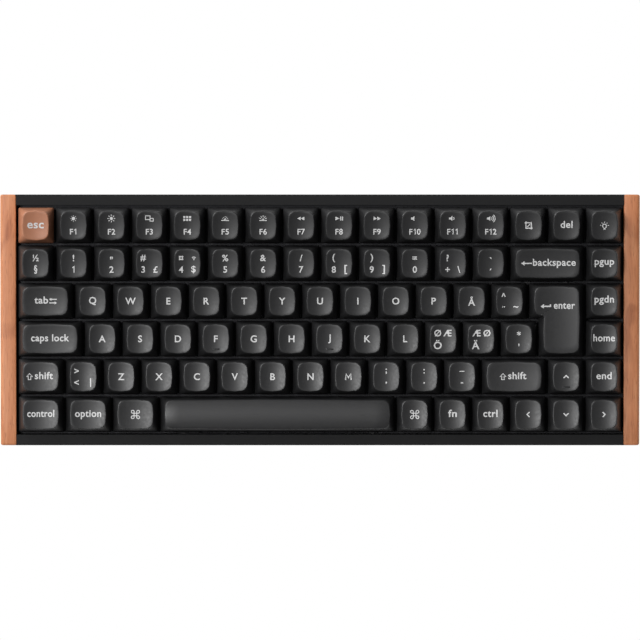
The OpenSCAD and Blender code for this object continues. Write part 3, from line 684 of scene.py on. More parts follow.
class Icon(Enum):
    """The signs that stand on keys beside letters and words."""

    SUN_LOW = "sun_low"
    SUN_HIGH = "sun_high"
    WINDOWS = "windows"
    TILES = "tiles"
    GLOW_LOW = "glow_low"
    GLOW_HIGH = "glow_high"
    REWIND = "rewind"
    PLAY = "play"
    FORWARD = "forward"
    MUTE = "mute"
    QUIET = "quiet"
    LOUD = "loud"
    CROP = "crop"
    BULB = "bulb"
    FAN = "fan"
    TAB = "tab"
    BACK = "back"
    RETURN = "return"
    SHIFT = "shift"
    UP = "up"
    DOWN = "down"
    LEFT = "left"
    RIGHT = "right"
    LOOPS = "loops"
    ONE = "one"
    WIDE_M = "wide_m"


def rays(reach: Point, start: float, sweep: float, count: int, centre: Point = (0.0, 0.0)) -> list[Shape]:
    """Short straight rays round a centre, from the first radius of their reach to the second."""
    near, far = (arc_points(radius, start, sweep, centre, count - 1) for radius in reach)
    return [stroke(ends, 0.36) for ends in zip(near, far)]


def triangle(tip: float, reach: float, half: float) -> Shape:
    """A triangle along x, with its tip at x = tip and its base reach further on."""
    return fill([(tip, 0.0), (tip + reach, half), (tip + reach, -half)])


def speaker(waves: int) -> list[Shape]:
    """A loudspeaker and its sound waves."""
    cone = fill([(-1.9, -0.5), (-1.2, -0.5), (-0.2, -1.25), (-0.2, 1.25), (-1.2, 0.5), (-1.9, 0.5)])
    return [cone] + [stroke(arc_points(0.8 * i, -50, 100, (-0.2, 0.0)), 0.4) for i in range(1, waves + 1)]


def chevron(turn: float) -> list[Shape]:
    """An open arrow head, turned by an angle in degrees from pointing up."""
    cosine, sine = math.cos(math.radians(turn)), math.sin(math.radians(turn))
    upright = np.array([(-1.25, -0.65), (0.0, 0.6), (1.25, -0.65)])
    return [stroke(upright @ [[cosine, sine], [-sine, cosine]], 0.55)]


def looped_square() -> list[Shape]:
    """A square whose corners run on into round loops."""
    half, loop = 0.66, 0.72
    corners = [(180, 1, 1), (-90, -1, 1), (0, -1, -1), (90, 1, -1)]
    away = half + loop
    arcs = [arc_points(loop, start, -270, (away * x, away * y), 15) for start, x, y in corners]
    return [stroke(np.vstack(arcs), 0.42, closed=True)]


def icon_shapes(icon: Icon) -> list[Shape]:
    """Draws an icon about its own centre, in millimetres."""
    square = np.array([(-1, -1), (1, -1), (1, 1), (-1, 1)], float)
    disc = arc_points(1.0, 0, 330, steps=11)
    bar = stroke([(-1.9, -1.0), (1.9, -1.0)], 0.45)
    dome = fill(arc_points(0.6, 0, 180, (0.0, -0.6)))
    shift_arrow = [(0, 1.55), (-1.45, 0.05), (-0.62, 0.05), (-0.62, -1.45)]
    shift_arrow += [(0.62, -1.45), (0.62, 0.05), (1.45, 0.05)]
    wide_m = [(-1.35, -1.6), (-1.2, 1.5), (0.0, -0.5), (1.2, 1.5), (1.35, -1.6)]
    hook = [(-1.2, 0.0), (2.3, 0.0), (2.3, 0.95)]
    drawings = {
        Icon.SUN_LOW: lambda: [fill(disc * 0.9), *rays((1.25, 1.55), 0, 315, 8)],
        Icon.SUN_HIGH: lambda: [fill(disc * 0.8), *rays((1.2, 1.95), 0, 315, 8)],
        Icon.WINDOWS: lambda: [
            stroke(square * (1.15, 0.95) + (-0.75, 0.4), 0.4, closed=True),
            stroke(square * (0.8, 0.7) + (1.2, -0.65), 0.4, closed=True),
        ],
        Icon.TILES: lambda: [
            fill(square * 0.52 + (x, y)) for x in (-1.45, 0.0, 1.45) for y in (-0.72, 0.72)
        ],
        Icon.GLOW_LOW: lambda: [bar, dome, *rays((1.1, 1.5), 20, 140, 5, (0.0, -0.5))],
        Icon.GLOW_HIGH: lambda: [bar, dome, *rays((1.1, 2.0), 20, 140, 5, (0.0, -0.5))],
        Icon.REWIND: lambda: [triangle(-1.9, 1.7, 0.95), triangle(-0.05, 1.7, 0.95)],
        Icon.PLAY: lambda: [
            triangle(0.3, -2.1, 1.0),
            *[stroke([(x, -1.0), (x, 1.0)]) for x in (0.9, 1.8)],
        ],
        Icon.FORWARD: lambda: [triangle(1.9, -1.7, 0.95), triangle(0.05, -1.7, 0.95)],
        Icon.MUTE: lambda: speaker(0),
        Icon.QUIET: lambda: speaker(1),
        Icon.LOUD: lambda: speaker(3),
        Icon.CROP: lambda: [
            stroke([(-1.35, 2.0), (-1.35, -1.35), (2.0, -1.35)]),
            stroke([(-2.0, 1.35), (1.35, 1.35), (1.35, -2.0)]),
            stroke([(-0.7, -0.7), (0.7, 0.7)]),
        ],
        Icon.BULB: lambda: [
            stroke(arc_points(0.95, -60, 300, (0.0, -0.25)), 0.42),
            fill(square * (0.5, 0.38) + (0.0, -1.65)),
            *rays((1.6, 2.15), 10, 160, 5, (0.0, -0.25)),
        ],
        Icon.FAN: lambda: [
            fill(arc_points(0.3, 0, 330, (0.0, -1.0), 11)),
            *[stroke(arc_points(radius, 45, 90, (0.0, -1.0)), 0.3) for radius in (0.75, 1.35)],
        ],
        Icon.TAB: lambda: [
            stroke([(-0.9, 0.9), (1.9, 0.9)], 0.5),
            fill([(-2.0, 0.9), (-0.8, 1.65), (-0.8, 0.15)]),
            stroke([(-1.9, -0.9), (0.9, -0.9)], 0.5),
            fill([(2.0, -0.9), (0.8, -0.15), (0.8, -1.65)]),
        ],
        Icon.BACK: lambda: [triangle(-2.65, 1.7, 1.15), stroke([(-1.2, 0.0), (2.65, 0.0)], 0.62)],
        Icon.RETURN: lambda: [triangle(-2.65, 1.7, 1.15), stroke(hook, 0.62)],
        Icon.SHIFT: lambda: [stroke(shift_arrow, 0.38, closed=True)],
        Icon.UP: lambda: chevron(0),
        Icon.DOWN: lambda: chevron(180),
        Icon.LEFT: lambda: chevron(90),
        Icon.RIGHT: lambda: chevron(-90),
        Icon.LOOPS: looped_square,
        Icon.WIDE_M: lambda: [stroke(wide_m, 0.55)],
        Icon.ONE: lambda: [stroke([(-0.7, 0.9), (0.25, 1.55), (0.25, -1.65)], 0.5)],
    }
    return drawings[icon]()


@dataclass(frozen=True)
class Mark:
    """A word or an icon on a keycap: where its middle lies from the middle of the top face, and its size.

    height is that of a capital, and width, where it is given, is what a word is fitted to.
    """

    what: str | Icon
    x: float = 0.0
    y: float = 0.0
    height: float = ICON_HEIGHT
    width: float | None = None


class Lettering:
    """Turns marks into flat shapes with Blender's own plain font.

    capital and lower_case are the heights of those letters at size 1, bold is how far their outlines are
    spread, and spacing the distance between letters, with 1 as the font's own.
    """

    capital = 0.69
    lower_case = 0.46
    bold = 0.018
    spacing = 1.06

    def __init__(self) -> None:
        """Starts with no words set."""
        self.words: dict[str, Shape] = {}

    def word(self, text: str) -> Shape:
        """A word set at size 1, with its triangles and with height 1 in front and 0 behind."""
        if text in self.words:
            return self.words[text]
        curve = bpy.data.curves.new("word", "FONT")
        curve.body = text
        curve.resolution_u = 4
        curve.offset = self.bold
        curve.space_character = self.spacing
        curve.extrude = 0.5
        holder = bpy.data.objects.new("word", curve)
        bpy.context.scene.collection.objects.link(holder)
        bpy.context.view_layer.update()
        mesh = bpy.data.meshes.new_from_object(holder)
        mesh.calc_loop_triangles()
        points = np.empty(len(mesh.vertices) * 3)
        mesh.vertices.foreach_get("co", points)
        corners = np.empty(len(mesh.loop_triangles) * 3, np.int32)
        mesh.loop_triangles.foreach_get("vertices", corners)
        bpy.data.objects.remove(holder)
        bpy.data.curves.remove(curve)
        bpy.data.meshes.remove(mesh)
        merged, where = np.unique(points.reshape(-1, 3).round(5), axis=0, return_inverse=True)
        triangles = where.ravel()[corners].reshape(-1, 3)
        whole = (triangles != np.roll(triangles, 1, axis=1)).all(1)
        self.words[text] = (merged + (0, 0, 0.5), [triangles[whole]])
        return self.words[text]

    def shapes(self, mark: Mark) -> list[Shape]:
        """The mark's shapes about the middle of the top face, at their real size."""
        if isinstance(mark.what, Icon):
            scale = mark.height / ICON_HEIGHT
            drawn = icon_shapes(mark.what)
            return [(points * (scale, scale, 1) + (mark.x, mark.y, 0), faces) for points, faces in drawn]
        points, faces = self.word(mark.what)
        low, high = points.min(0), points.max(0)
        size = mark.height / self.capital
        across = size if mark.width is None else mark.width / (high[0] - low[0])
        lower_word = mark.what.islower() and len(mark.what) > 1
        middle_y = self.lower_case / 2 if lower_word else (low[1] + high[1]) / 2
        centred = points - ((low[0] + high[0]) / 2, middle_y, 0)
        return [(centred * (across, size, 1) + (mark.x, mark.y, 0), faces)]


# ---------- keys ----------


class CapStyle(Enum):
    """The ways a keycap's top face is shaped."""

    DISHED = "dished"
    CROWNED = "crowned"
    TALL = "tall"


@dataclass(frozen=True)
class Key:
    """A key: its row from the back, its first unit, its width in units, and what is marked on it."""

    name: str
    row: float
    start: float
    width: float = 1.0
    marks: tuple[Mark, ...] = ()
    style: CapStyle = CapStyle.DISHED
    homing: bool = False


# Heights of a capital in words, in digits and signs, and in the labels of the function row
WORD = 3.45
DIGIT = 3.15
LABEL = 2.75
# Where paired and cornered signs stand over and under the middle of the top face
UPPER = 2.7
LOWER = -3.1
CORNER = 2.9


def lone(text: str | Icon, **more: float) -> tuple[Mark, ...]:
    """One mark in the middle of a key."""
    return (Mark(text, **more),)


def flagged(sign: str) -> str | Icon:
    """The sign itself, or the icon of a 1 with a flag, which the font lacks."""
    return Icon.ONE if sign == "1" else sign


def pair(upper: str, lower: str, x: float = 0.0) -> tuple[Mark, ...]:
    """A shifted sign above a plain one."""
    return (Mark(upper, x, UPPER, DIGIT), Mark(flagged(lower), x, LOWER, DIGIT))


def spelled(text: str, y: float, height: float) -> tuple[Mark, ...]:
    """A short label set sign by sign, with a flag on each 1."""
    step = 0.72 * height
    first = -(len(text) - 1) / 2 * step
    return tuple(Mark(flagged(sign), first + i * step, y, height) for i, sign in enumerate(text))


def function_row() -> list[Key]:
    """The back row: escape, F1 to F12, screen capture, delete and light."""
    icons = [Icon.SUN_LOW, Icon.SUN_HIGH, Icon.WINDOWS, Icon.TILES, Icon.GLOW_LOW, Icon.GLOW_HIGH]
    icons += [Icon.REWIND, Icon.PLAY, Icon.FORWARD, Icon.MUTE, Icon.QUIET, Icon.LOUD]
    keys = [Key("escape", 0, 0, marks=lone("esc", height=4.0, width=8.3))]
    for number, icon in enumerate(icons, 1):
        marks = (Mark(icon, 0.0, 3.55), *spelled(f"F{number}", -3.15, LABEL))
        keys.append(Key(f"f{number}", 0, number, marks=marks))
    return keys + [
        Key("capture", 0, 13, marks=lone(Icon.CROP)),
        Key("delete", 0, 14, marks=lone("del", height=WORD, width=6.0)),
        Key("light", 0, 15, marks=lone(Icon.BULB)),
    ]


def number_row() -> list[Key]:
    """The second row: digits with their shifted signs, backspace and page up."""
    middle = ["½§", "!1", '"2', "#3", "¤4", "%5", "&6", "/7", "(8", ")9", "=0", "?+", "`´"]
    aside = {"#3": -3.1, "¤4": -3.1, "(8": -2.6, ")9": -2.6, "?+": -2.6}
    extra = {
        "#3": (Mark("£", 3.1, LOWER, DIGIT),),
        "¤4": (Mark("$", 3.1, LOWER, DIGIT), Mark(Icon.FAN, 3.3, CORNER)),
        "(8": (Mark("[", 3.4, LOWER, DIGIT + 0.3),),
        ")9": (Mark("]", 3.4, LOWER, DIGIT + 0.3),),
        "?+": (Mark("\\", 3.1, LOWER, DIGIT),),
    }
    names = ["half", *[f"digit_{n}" for n in (1, 2, 3, 4, 5, 6, 7, 8, 9, 0)], "plus", "accent"]
    keys = []
    for start, (name, signs) in enumerate(zip(names, middle)):
        marks = pair(signs[0], signs[1], aside.get(signs, 0.0)) + extra.get(signs, ())
        keys.append(Key(name, 1, start, marks=marks))
    back = (Mark(Icon.BACK, -10.6, 0.0), Mark("backspace", 3.4, 0.0, WORD, 21.5))
    return keys + [
        Key("backspace", 1, 13, 2, marks=back),
        Key("page_up", 1, 15, marks=lone("pgup", y=0.5, height=WORD, width=9.8)),
    ]


def letter_rows() -> list[Key]:
    """The third and fourth rows: tab and caps lock, letters, the L-shaped enter key, page down and home."""
    keys = [Key("tab", 2, 0, 1.5, (Mark("tab", -2.0, 0.0, WORD, 6.9), Mark(Icon.TAB, 3.9, 0.0)))]
    keys += [Key(f"letter_{c.lower()}", 2, 1.5 + i, marks=lone(c)) for i, c in enumerate("QWERTYUIOP")]
    tilde = (Mark("^", -3.0, 3.2, DIGIT), Mark("¨", -3.0, -CORNER, DIGIT), Mark("~", 3.2, -CORNER, DIGIT))
    enter = (Mark(Icon.RETURN, -7.9, 7.3), Mark("enter", 1.4, 7.3, WORD, 10.7))
    keys += [
        Key("letter_a_ring", 2, 11.5, marks=lone("Å", height=3.4)),
        Key("umlaut", 2, 12.5, marks=tilde),
        Key("enter", 2.5, 13.75, 1.25, enter, CapStyle.TALL),
        Key("page_down", 2, 15, marks=lone("pgdn", y=0.5, height=WORD, width=9.8)),
        Key("caps_lock", 3, 0, 1.75, lone("caps lock", height=WORD, width=19.2)),
    ]
    for i, c in enumerate("ASDFGHJKL"):
        keys.append(Key(f"letter_{c.lower()}", 3, 1.75 + i, marks=lone(c), homing=c in "FJ"))
    slashed = (Mark("Ø", -2.7, CORNER, DIGIT), Mark("Æ", 2.2, CORNER, DIGIT))
    joined = (Mark("Æ", -2.2, CORNER, DIGIT), Mark("Ø", 3.0, CORNER, DIGIT))
    dotted = [(Mark(letter, -2.7, -CORNER, 3.6),) for letter in "ÖÄ"]
    return keys + [
        Key("letter_o_slash", 3, 10.75, marks=slashed + dotted[0]),
        Key("letter_ae", 3, 11.75, marks=joined + dotted[1]),
        Key("star", 3, 12.75, marks=pair("*", "'")),
        Key("home", 3, 15, marks=lone("home", height=WORD, width=10.9)),
    ]


def front_rows() -> list[Key]:
    """The two front rows: shifts, letters, modifiers, the space bar, arrows and end."""
    angle = (Mark(">", -3.4, CORNER, DIGIT), Mark("<", -3.4, -CORNER, DIGIT), Mark("|", 3.7, -CORNER, DIGIT))
    shift = (Mark(Icon.SHIFT, -5.6, 0.0), Mark("shift", 1.6, 0.0, WORD, 9.2))
    keys = [Key("left_shift", 4, 0, 1.25, shift), Key("angle", 4, 1.25, marks=angle)]
    keys += [Key(f"letter_{c.lower()}", 4, 2.25 + i, marks=lone(c)) for i, c in enumerate("ZXCVBN")]
    keys.append(Key("letter_m", 4, 8.25, marks=lone(Icon.WIDE_M)))
    keys += [
        Key("comma", 4, 9.25, marks=pair(";", ",")),
        Key("dot", 4, 10.25, marks=pair(":", ".")),
        Key("dash", 4, 11.25, marks=pair("_", "-")),
        Key("right_shift", 4, 12.25, 1.75, shift),
        Key("arrow_up", 4, 14, marks=lone(Icon.UP), homing=True),
        Key("end", 4, 15, marks=lone("end", height=WORD, width=7.7)),
        Key("control", 5, 0, 1.25, lone("control", height=WORD, width=13.6)),
        Key("option", 5, 1.25, 1.25, lone("option", height=WORD, width=13.2)),
        Key("command", 5, 2.5, 1.25, lone(Icon.LOOPS)),
        Key("space", 5, 3.75, 6.25, (), CapStyle.CROWNED),
        Key("right_command", 5, 10, marks=lone(Icon.LOOPS)),
        Key("function", 5, 11, marks=lone("fn", height=WORD, width=4.4)),
        Key("right_control", 5, 12, marks=lone("ctrl", height=WORD, width=7.2)),
    ]
    arrows = (Icon.LEFT, Icon.DOWN, Icon.RIGHT)
    return keys + [Key(f"arrow_{icon.value}", 5, 13 + i, marks=lone(icon)) for i, icon in enumerate(arrows)]


@dataclass(frozen=True)
class Grid:
    """The key grid: columns and rows of units, and the distance between two units."""

    pitch: float
    columns: int = 16
    rows: int = 6
    gap: float = 0.95

    @classmethod
    def between(cls, first: str, last: str, units: int) -> "Grid":
        """Takes the pitch from two keys that stand some units apart in one row."""
        near, far = (node_points(name)[:, 0] for name in (first, last))
        apart = (far.min() + far.max() - near.min() - near.max()) / 2
        return cls(pitch=round(float(apart) / units, 3))

    def middle(self, key: Key) -> Point:
        """Where the middle of a key lies, along u and v."""
        u = (key.start + key.width / 2 - self.columns / 2) * self.pitch
        return u, ((self.rows - 1) / 2 - key.row) * self.pitch

    def half(self, units: float) -> float:
        """Half the width of a skirt that covers some units."""
        return (units * self.pitch - self.gap) / 2


@dataclass(frozen=True)
class CapMould:
    """Sizes that all keycaps share, above the skirt's lower edge.

    heights are those of the top face's front and back edges, row by row from the back. turn is how far
    down the wall the shoulder ends, and wall_rings lists where rings stand on the wall, both as shares.
    homing_levels are the homing bar's insets with their heights over the face.
    """

    lift: float = 6.0
    side_inset: float = 2.57
    back_inset: float = 1.42
    front_inset: float = 2.23
    heights: tuple[Point, ...] = (
        (9.4, 10.9),
        (9.3, 10.6),
        (8.6, 9.3),
        (8.4, 8.4),
        (9.1, 8.3),
        (9.4, 8.4),
    )
    skirt_radius: float = 0.8
    top_radius: float = 3.7
    top_bulge: float = 0.32
    notch_radius: float = 1.2
    shoulder: float = 0.4
    shoulder_rings: int = 6
    turn: float = 0.09
    wall_rings: tuple[float, ...] = (0.25, 0.45, 0.65, 0.85, 0.975)
    face_rings: int = 9
    corner_steps: int = 9
    side_step: float = 4.5
    lip: float = 0.15
    lip_rise: float = 0.1
    dish: float = 0.7
    dish_radius: float = 80.0
    side_rise: float = 0.8
    crown: float = 0.95
    wall: float = 1.25
    hollow_radius: float = 0.7
    roof: float = 1.6
    roof_edge: Point = (0.3, 0.4)
    enter_shoulder: float = 0.25
    post: Point = (2.05, 2.75)
    post_low: float = 1.2
    post_edge: float = 0.2
    post_grip: float = 0.3
    legend_proud: float = 0.02
    legend_depth: float = 0.25
    homing_half: Point = (1.9, 0.42)
    homing_forward: float = 5.2
    homing_radius: float = 0.4
    homing_levels: tuple[Point, ...] = ((0.25, 0.34), (0.1, 0.28), (0.0, 0.1), (0.0, -0.3))
    homing_crown: float = 0.36


@dataclass(frozen=True)
class Keycap:
    """One keycap: a lofted shell with a shaped top face, its posts, its legends and its homing bar."""

    key: Key
    grid: Grid
    mould: CapMould

    @property
    def heights(self) -> Point:
        """Heights of the top face's front and back edges."""
        if self.key.style is CapStyle.TALL:
            return self.mould.heights[3][0], self.mould.heights[2][1]
        return self.mould.heights[int(self.key.row)]

    @property
    def roof(self) -> float:
        """Height of the hollow's roof."""
        return min(self.heights) - self.mould.dish - self.mould.roof

    def skirt(self) -> Outline:
        """The outline of the lower edge: a rectangle, or an L for the tall key."""
        half = self.grid.half(self.key.width)
        if self.key.style is not CapStyle.TALL:
            deep = self.grid.half(1)
            return Outline.rectangle((-half, half), (-deep, deep), self.mould.skirt_radius)
        deep = self.grid.half(2)
        left = -half - self.mould.enter_shoulder * self.grid.pitch
        notch = self.grid.gap / 2
        corners = [(-half, -deep), (half, -deep), (half, deep), (left, deep), (left, notch), (-half, notch)]
        return Outline(np.array(corners), np.full(6, self.mould.skirt_radius))

    def face(self) -> Outline:
        """The outline of the top face: the skirt's, drawn in by the three insets and rounded more."""
        mould = self.mould
        inner = self.skirt().inset(mould.side_inset, mould.front_inset, mould.back_inset)
        radii = np.full(len(inner.corners), mould.top_radius)
        if self.key.style is CapStyle.TALL:
            radii[-1] = mould.notch_radius
        return replace(inner, radii=radii, bulge=mould.top_bulge)

    def middle(self) -> Point:
        """A point of the top face that sees all of its edge."""
        face = self.face().corners
        if self.key.style is CapStyle.TALL:
            return 0.0, float((face[4, 1] + face[2, 1]) / 2)
        return 0.0, float((face[0, 1] + face[2, 1]) / 2)

    def surface(self, points: Array) -> Array:
        """Height of the top face over the skirt.

        It is a plane that slopes from the front edge to the back edge, plus a dish: less its depth in the
        middle, and higher by the squared distance over twice the radius. A wide key's radius is longer
        along u, so that its side edges rise as far as a narrow one's. The space bar is higher in the
        middle instead, by a parabola along v.
        """
        mould = self.mould
        face = self.face().corners
        low, high = face.min(0), face.max(0)
        front, back = self.heights
        middle = (low + high) / 2
        half = (high - low) / 2
        plane = front + (back - front) * (points[:, 1] - low[1]) / (high[1] - low[1])
        off = points - middle
        if self.key.style is CapStyle.CROWNED:
            return plane + mould.crown * (0.5 - (off[:, 1] / half[1]) ** 2)
        across = off[:, 0] ** 2 * mould.side_rise / half[0] ** 2
        if self.key.style is CapStyle.TALL:
            return plane + across - mould.side_rise
        return plane - mould.dish + across + off[:, 1] ** 2 / (2 * mould.dish_radius)

    def hollow(self, height: float) -> Outline:
        """The inner walls' outline at a height over the skirt, which leans in as the outer walls do."""
        mould = self.mould
        front, back = self.heights
        side = mould.side_inset * 2 / (front + back)
        lean = (side, mould.front_inset / front, mould.back_inset / back)
        outline = self.skirt().inset(*[mould.wall + slope * height for slope in lean])
        return replace(outline, radii=np.full(len(outline.corners), mould.hollow_radius))

    def shell(self) -> Patch:
        """The cap itself, as rings from the middle of the top face to the middle of the inner roof.

        The top rings are the face's edge, drawn in and shrunk to the middle. The shoulder is a quadratic
        curve from that edge over the sharp edge onto the wall, and the wall runs straight to the skirt.
        """
        mould = self.mould
        skirt, face = self.skirt(), self.face()
        lengths = np.linalg.norm(np.roll(skirt.corners, -1, axis=0) - skirt.corners, axis=1)
        spans = np.maximum(4, np.round(lengths / mould.side_step)).astype(int).tolist()
        middle = np.array(self.middle())

        def ring(outline: Outline, height: float | None = None) -> Array:
            """Points round an outline at a height, or on the top face."""
            flat = outline.points(mould.corner_steps, spans)
            return at_height(flat, self.surface(flat) if height is None else height)

        edge = ring(face.inset(mould.shoulder))
        corner = ring(face)
        foot = ring(skirt, 0.0)
        top = []
        for share in np.linspace(0, 1, mould.face_rings)[1:-1]:
            flat = middle + (edge[:, :2] - middle) * share
            top.append(at_height(flat, self.surface(flat)))
        turn = corner + (foot - corner) * mould.turn
        shares = np.linspace(0, 1, mould.shoulder_rings)
        shoulder = [edge * (1 - t) ** 2 + corner * 2 * t * (1 - t) + turn * t**2 for t in shares]
        walls = [corner + (foot - corner) * share for share in mould.wall_rings]
        lip = [ring(skirt.inset(depth), 0.0) for depth in (mould.lip, mould.wall - mould.lip_rise)]
        lip.append(ring(self.hollow(mould.lip_rise), mould.lip_rise))
        roof = self.roof
        edge_in, edge_down = mould.roof_edge
        cavity = [ring(self.hollow(roof - edge_down), roof - edge_down)]
        cavity.append(ring(self.hollow(roof).inset(edge_in), roof))
        centre = middle[None]
        first = at_height(centre, self.surface(centre))[0]
        last = (*middle, roof)
        return closed_rings(np.stack([*top, *shoulder, *walls, *lip, *cavity]), first, last)

    def posts(self) -> list[Patch]:
        """Round posts under the roof that take the stems' crosses."""
        mould = self.mould
        inner, outer = mould.post
        low, edge = mould.post_low, mould.post_edge
        high = self.roof + mould.post_grip
        outside = [(outer, high), (outer, low + edge), (outer - edge, low)]
        inside = [(inner + 0.75 * edge, low), (inner, low + edge), (inner, high)]
        return [ring_patch(spot, outside + inside) for spot in stem_spots(self.key)]

    def legends(self, lettering: Lettering) -> list[Patch]:
        """The marks, moulded in a second colour and standing a hair proud of the top face."""
        mould = self.mould
        face = self.face().corners
        tall = self.key.style is CapStyle.TALL
        middle = np.zeros(2) if tall else (face.min(0) + face.max(0)) / 2
        patches = []
        for mark in self.key.marks:
            for points, faces in lettering.shapes(mark):
                flat = points[:, :2] + middle
                front = points[:, 2] > 0.5
                height = self.surface(flat) + np.where(front, mould.legend_proud, -mould.legend_depth)
                patches.append(Patch(at_height(flat, height), faces, finish=1, smooth=False))
        return patches

    def homing_bar(self) -> Patch:
        """A small raised bar at the front of the face, rounded over its top."""
        mould = self.mould
        face = self.face().corners
        spot = (face.min(0) + face.max(0)) / 2 + (0.0, -mould.homing_forward)
        long, thin = mould.homing_half
        base = Outline.rectangle((-long, long), (-thin, thin), mould.homing_radius)
        rings = []
        for inset, height in mould.homing_levels:
            flat = base.inset(inset).points(4, (3, 1, 3, 1)) + spot
            rings.append(at_height(flat, self.surface(flat) + height))
        face_height = self.surface(spot[None])[0]
        top, foot = face_height + mould.homing_crown, face_height + mould.homing_levels[-1][1]
        return closed_rings(np.stack(rings), (*spot, top), (*spot, foot))

    def build(self, palette: Palette, lettering: Lettering, bodies: Sequence[KeyBody]) -> bpy.types.Object:
        """Builds the cap, and lets it ride on the body that holds its key."""
        brown = self.key.name == "escape"
        patches = [self.shell(), *self.posts()]
        if self.key.homing:
            patches.append(self.homing_bar())
        patches += self.legends(lettering)
        u, v = self.grid.middle(self.key)
        placed = [moved(patch, u, v, self.mould.lift) for patch in patches]
        finishes = [palette.cap_brown if brown else palette.cap_grey, palette.legend]
        piece = make_piece(f"cap_{self.key.name}", placed, finishes)
        body = next(b for b in bodies if b.holds(u, v))
        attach(piece, body.name)
        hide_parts(body.name)
        return piece


# ---------- stems and springs ----------

# Distance between the two stabiliser stems of a key
STAB_SPANS = {"space": 100.0, "backspace": 23.8, "enter": 23.8}


def stem_spots(key: Key) -> list[Point]:
    """Where stems stand under a key, from its middle: one, and two more where it is stabilised."""
    reach = STAB_SPANS.get(key.name, 0.0) / 2
    if not reach:
        return [(0.0, 0.0)]
    sides = [(0.0, reach), (0.0, -reach)] if key.style is CapStyle.TALL else [(reach, 0.0), (-reach, 0.0)]
    return [(0.0, 0.0), *sides]


@dataclass(frozen=True)
class SwitchStem:
    """The sliding stem of a switch, with its wide shoulder, its neck and the cross that holds the cap."""

    low: float = -0.1
    foot_top: float = 4.0
    shoulder: Point = (4.0, 2.7)
    shoulder_top: float = 5.5
    neck: Point = (3.3, 2.3)
    neck_low: float = 5.3
    neck_top: float = 6.9
    cross: Point = (2.0, 0.6)
    cross_top: float = 10.2
    bore: float = 2.4

    def patches(self) -> list[Patch]:
        """Hollow foot, shoulder block, neck block and two crossed bars, one over the other."""
        u, v = self.shoulder
        foot_w = (self.low, self.foot_top)
        foot = [block_patch(x, (-v, v), foot_w) for x in ((-u, -self.bore), (self.bore, u))]
        shoulder = block_patch((-u, u), (-v, v), (self.foot_top, self.shoulder_top))
        long, thin = self.neck
        neck = block_patch((-long, long), (-thin, thin), (self.neck_low, self.neck_top))
        return [*foot, shoulder, neck, *cross_patches(self.cross, self.neck_top, self.cross_top)]


def cross_patches(cross: Point, low: float, high: float) -> list[Patch]:
    """Two thin bars that cross each other upright, and reach a little into what they stand on."""
    root, edge = 0.2, 0.1
    halves = (cross, cross[::-1])
    return [block_patch((-u, u), (-v, v), (low - root, high), edge) for u, v in halves]


@dataclass(frozen=True)
class StabiliserStem:
    """The stem of a stabiliser: two cheeks beside the wire, joined above it, and a cross."""

    half: Point = (2.2, 2.8)
    low: float = 0.2
    bridge: float = 5.3
    top: float = 6.9
    slot: float = 1.0
    overlap: float = 0.1
    cross: Point = (2.0, 0.6)
    cross_top: float = 10.2

    def patches(self) -> list[Patch]:
        """Two cheeks, the bridge over them and the cross."""
        u, v = self.half
        sides = ((-u, -self.slot), (self.slot, u))
        cheeks = [block_patch(x, (-v, v), (self.low, self.bridge)) for x in sides]
        bridge = block_patch((-u, u), (-v, v), (self.bridge - self.overlap, self.top))
        return [*cheeks, bridge, *cross_patches(self.cross, self.top, self.cross_top)]


def turned(patch: Patch) -> Patch:
    """A patch, turned a quarter about the plate's normal."""
    u, v, w = patch.points.T
    return replace(patch, points=np.stack([-v, u, w], -1))


@dataclass(frozen=True)
class Spring:
    """A switch's spring: a coil of round wire whose end turns lie close.

    closeness is how much the end turns draw together, and steps is for one turn.
    """

    low: float = -4.2
    high: float = 4.0
    diameter: float = 4.2
    wire: float = 0.3
    turns: float = 11.0
    closeness: float = 0.72
    steps: int = 12
    sides: int = 5

    def patch(self) -> Patch:
        """Carries a small circle along a helix.

        The helix is radius times the cosine and sine of an even angle, and its height eases in and out, so
        that the end turns lie close. The circle stands along the radius and the axis.
        """
        count = round(self.turns * self.steps) + 1
        share = np.linspace(0, 1, count)[:, None]
        angle = 2 * math.pi * self.turns * share
        around = np.linspace(0, 2 * math.pi, self.sides, endpoint=False)
        half = self.wire / 2
        eased = share - self.closeness * np.sin(4 * math.pi * share) / (4 * math.pi)
        middle = self.low + half + eased * (self.high - self.low - self.wire)
        radius = self.diameter / 2 - half + half * np.cos(around)
        height = middle + half * np.sin(around)
        rings = np.stack([radius * np.cos(angle), radius * np.sin(angle), height], -1)
        return closed_rings(rings, rings[0].mean(0), rings[-1].mean(0))

    @property
    def length(self) -> float:
        """Length of the resting spring."""
        return self.high - self.low


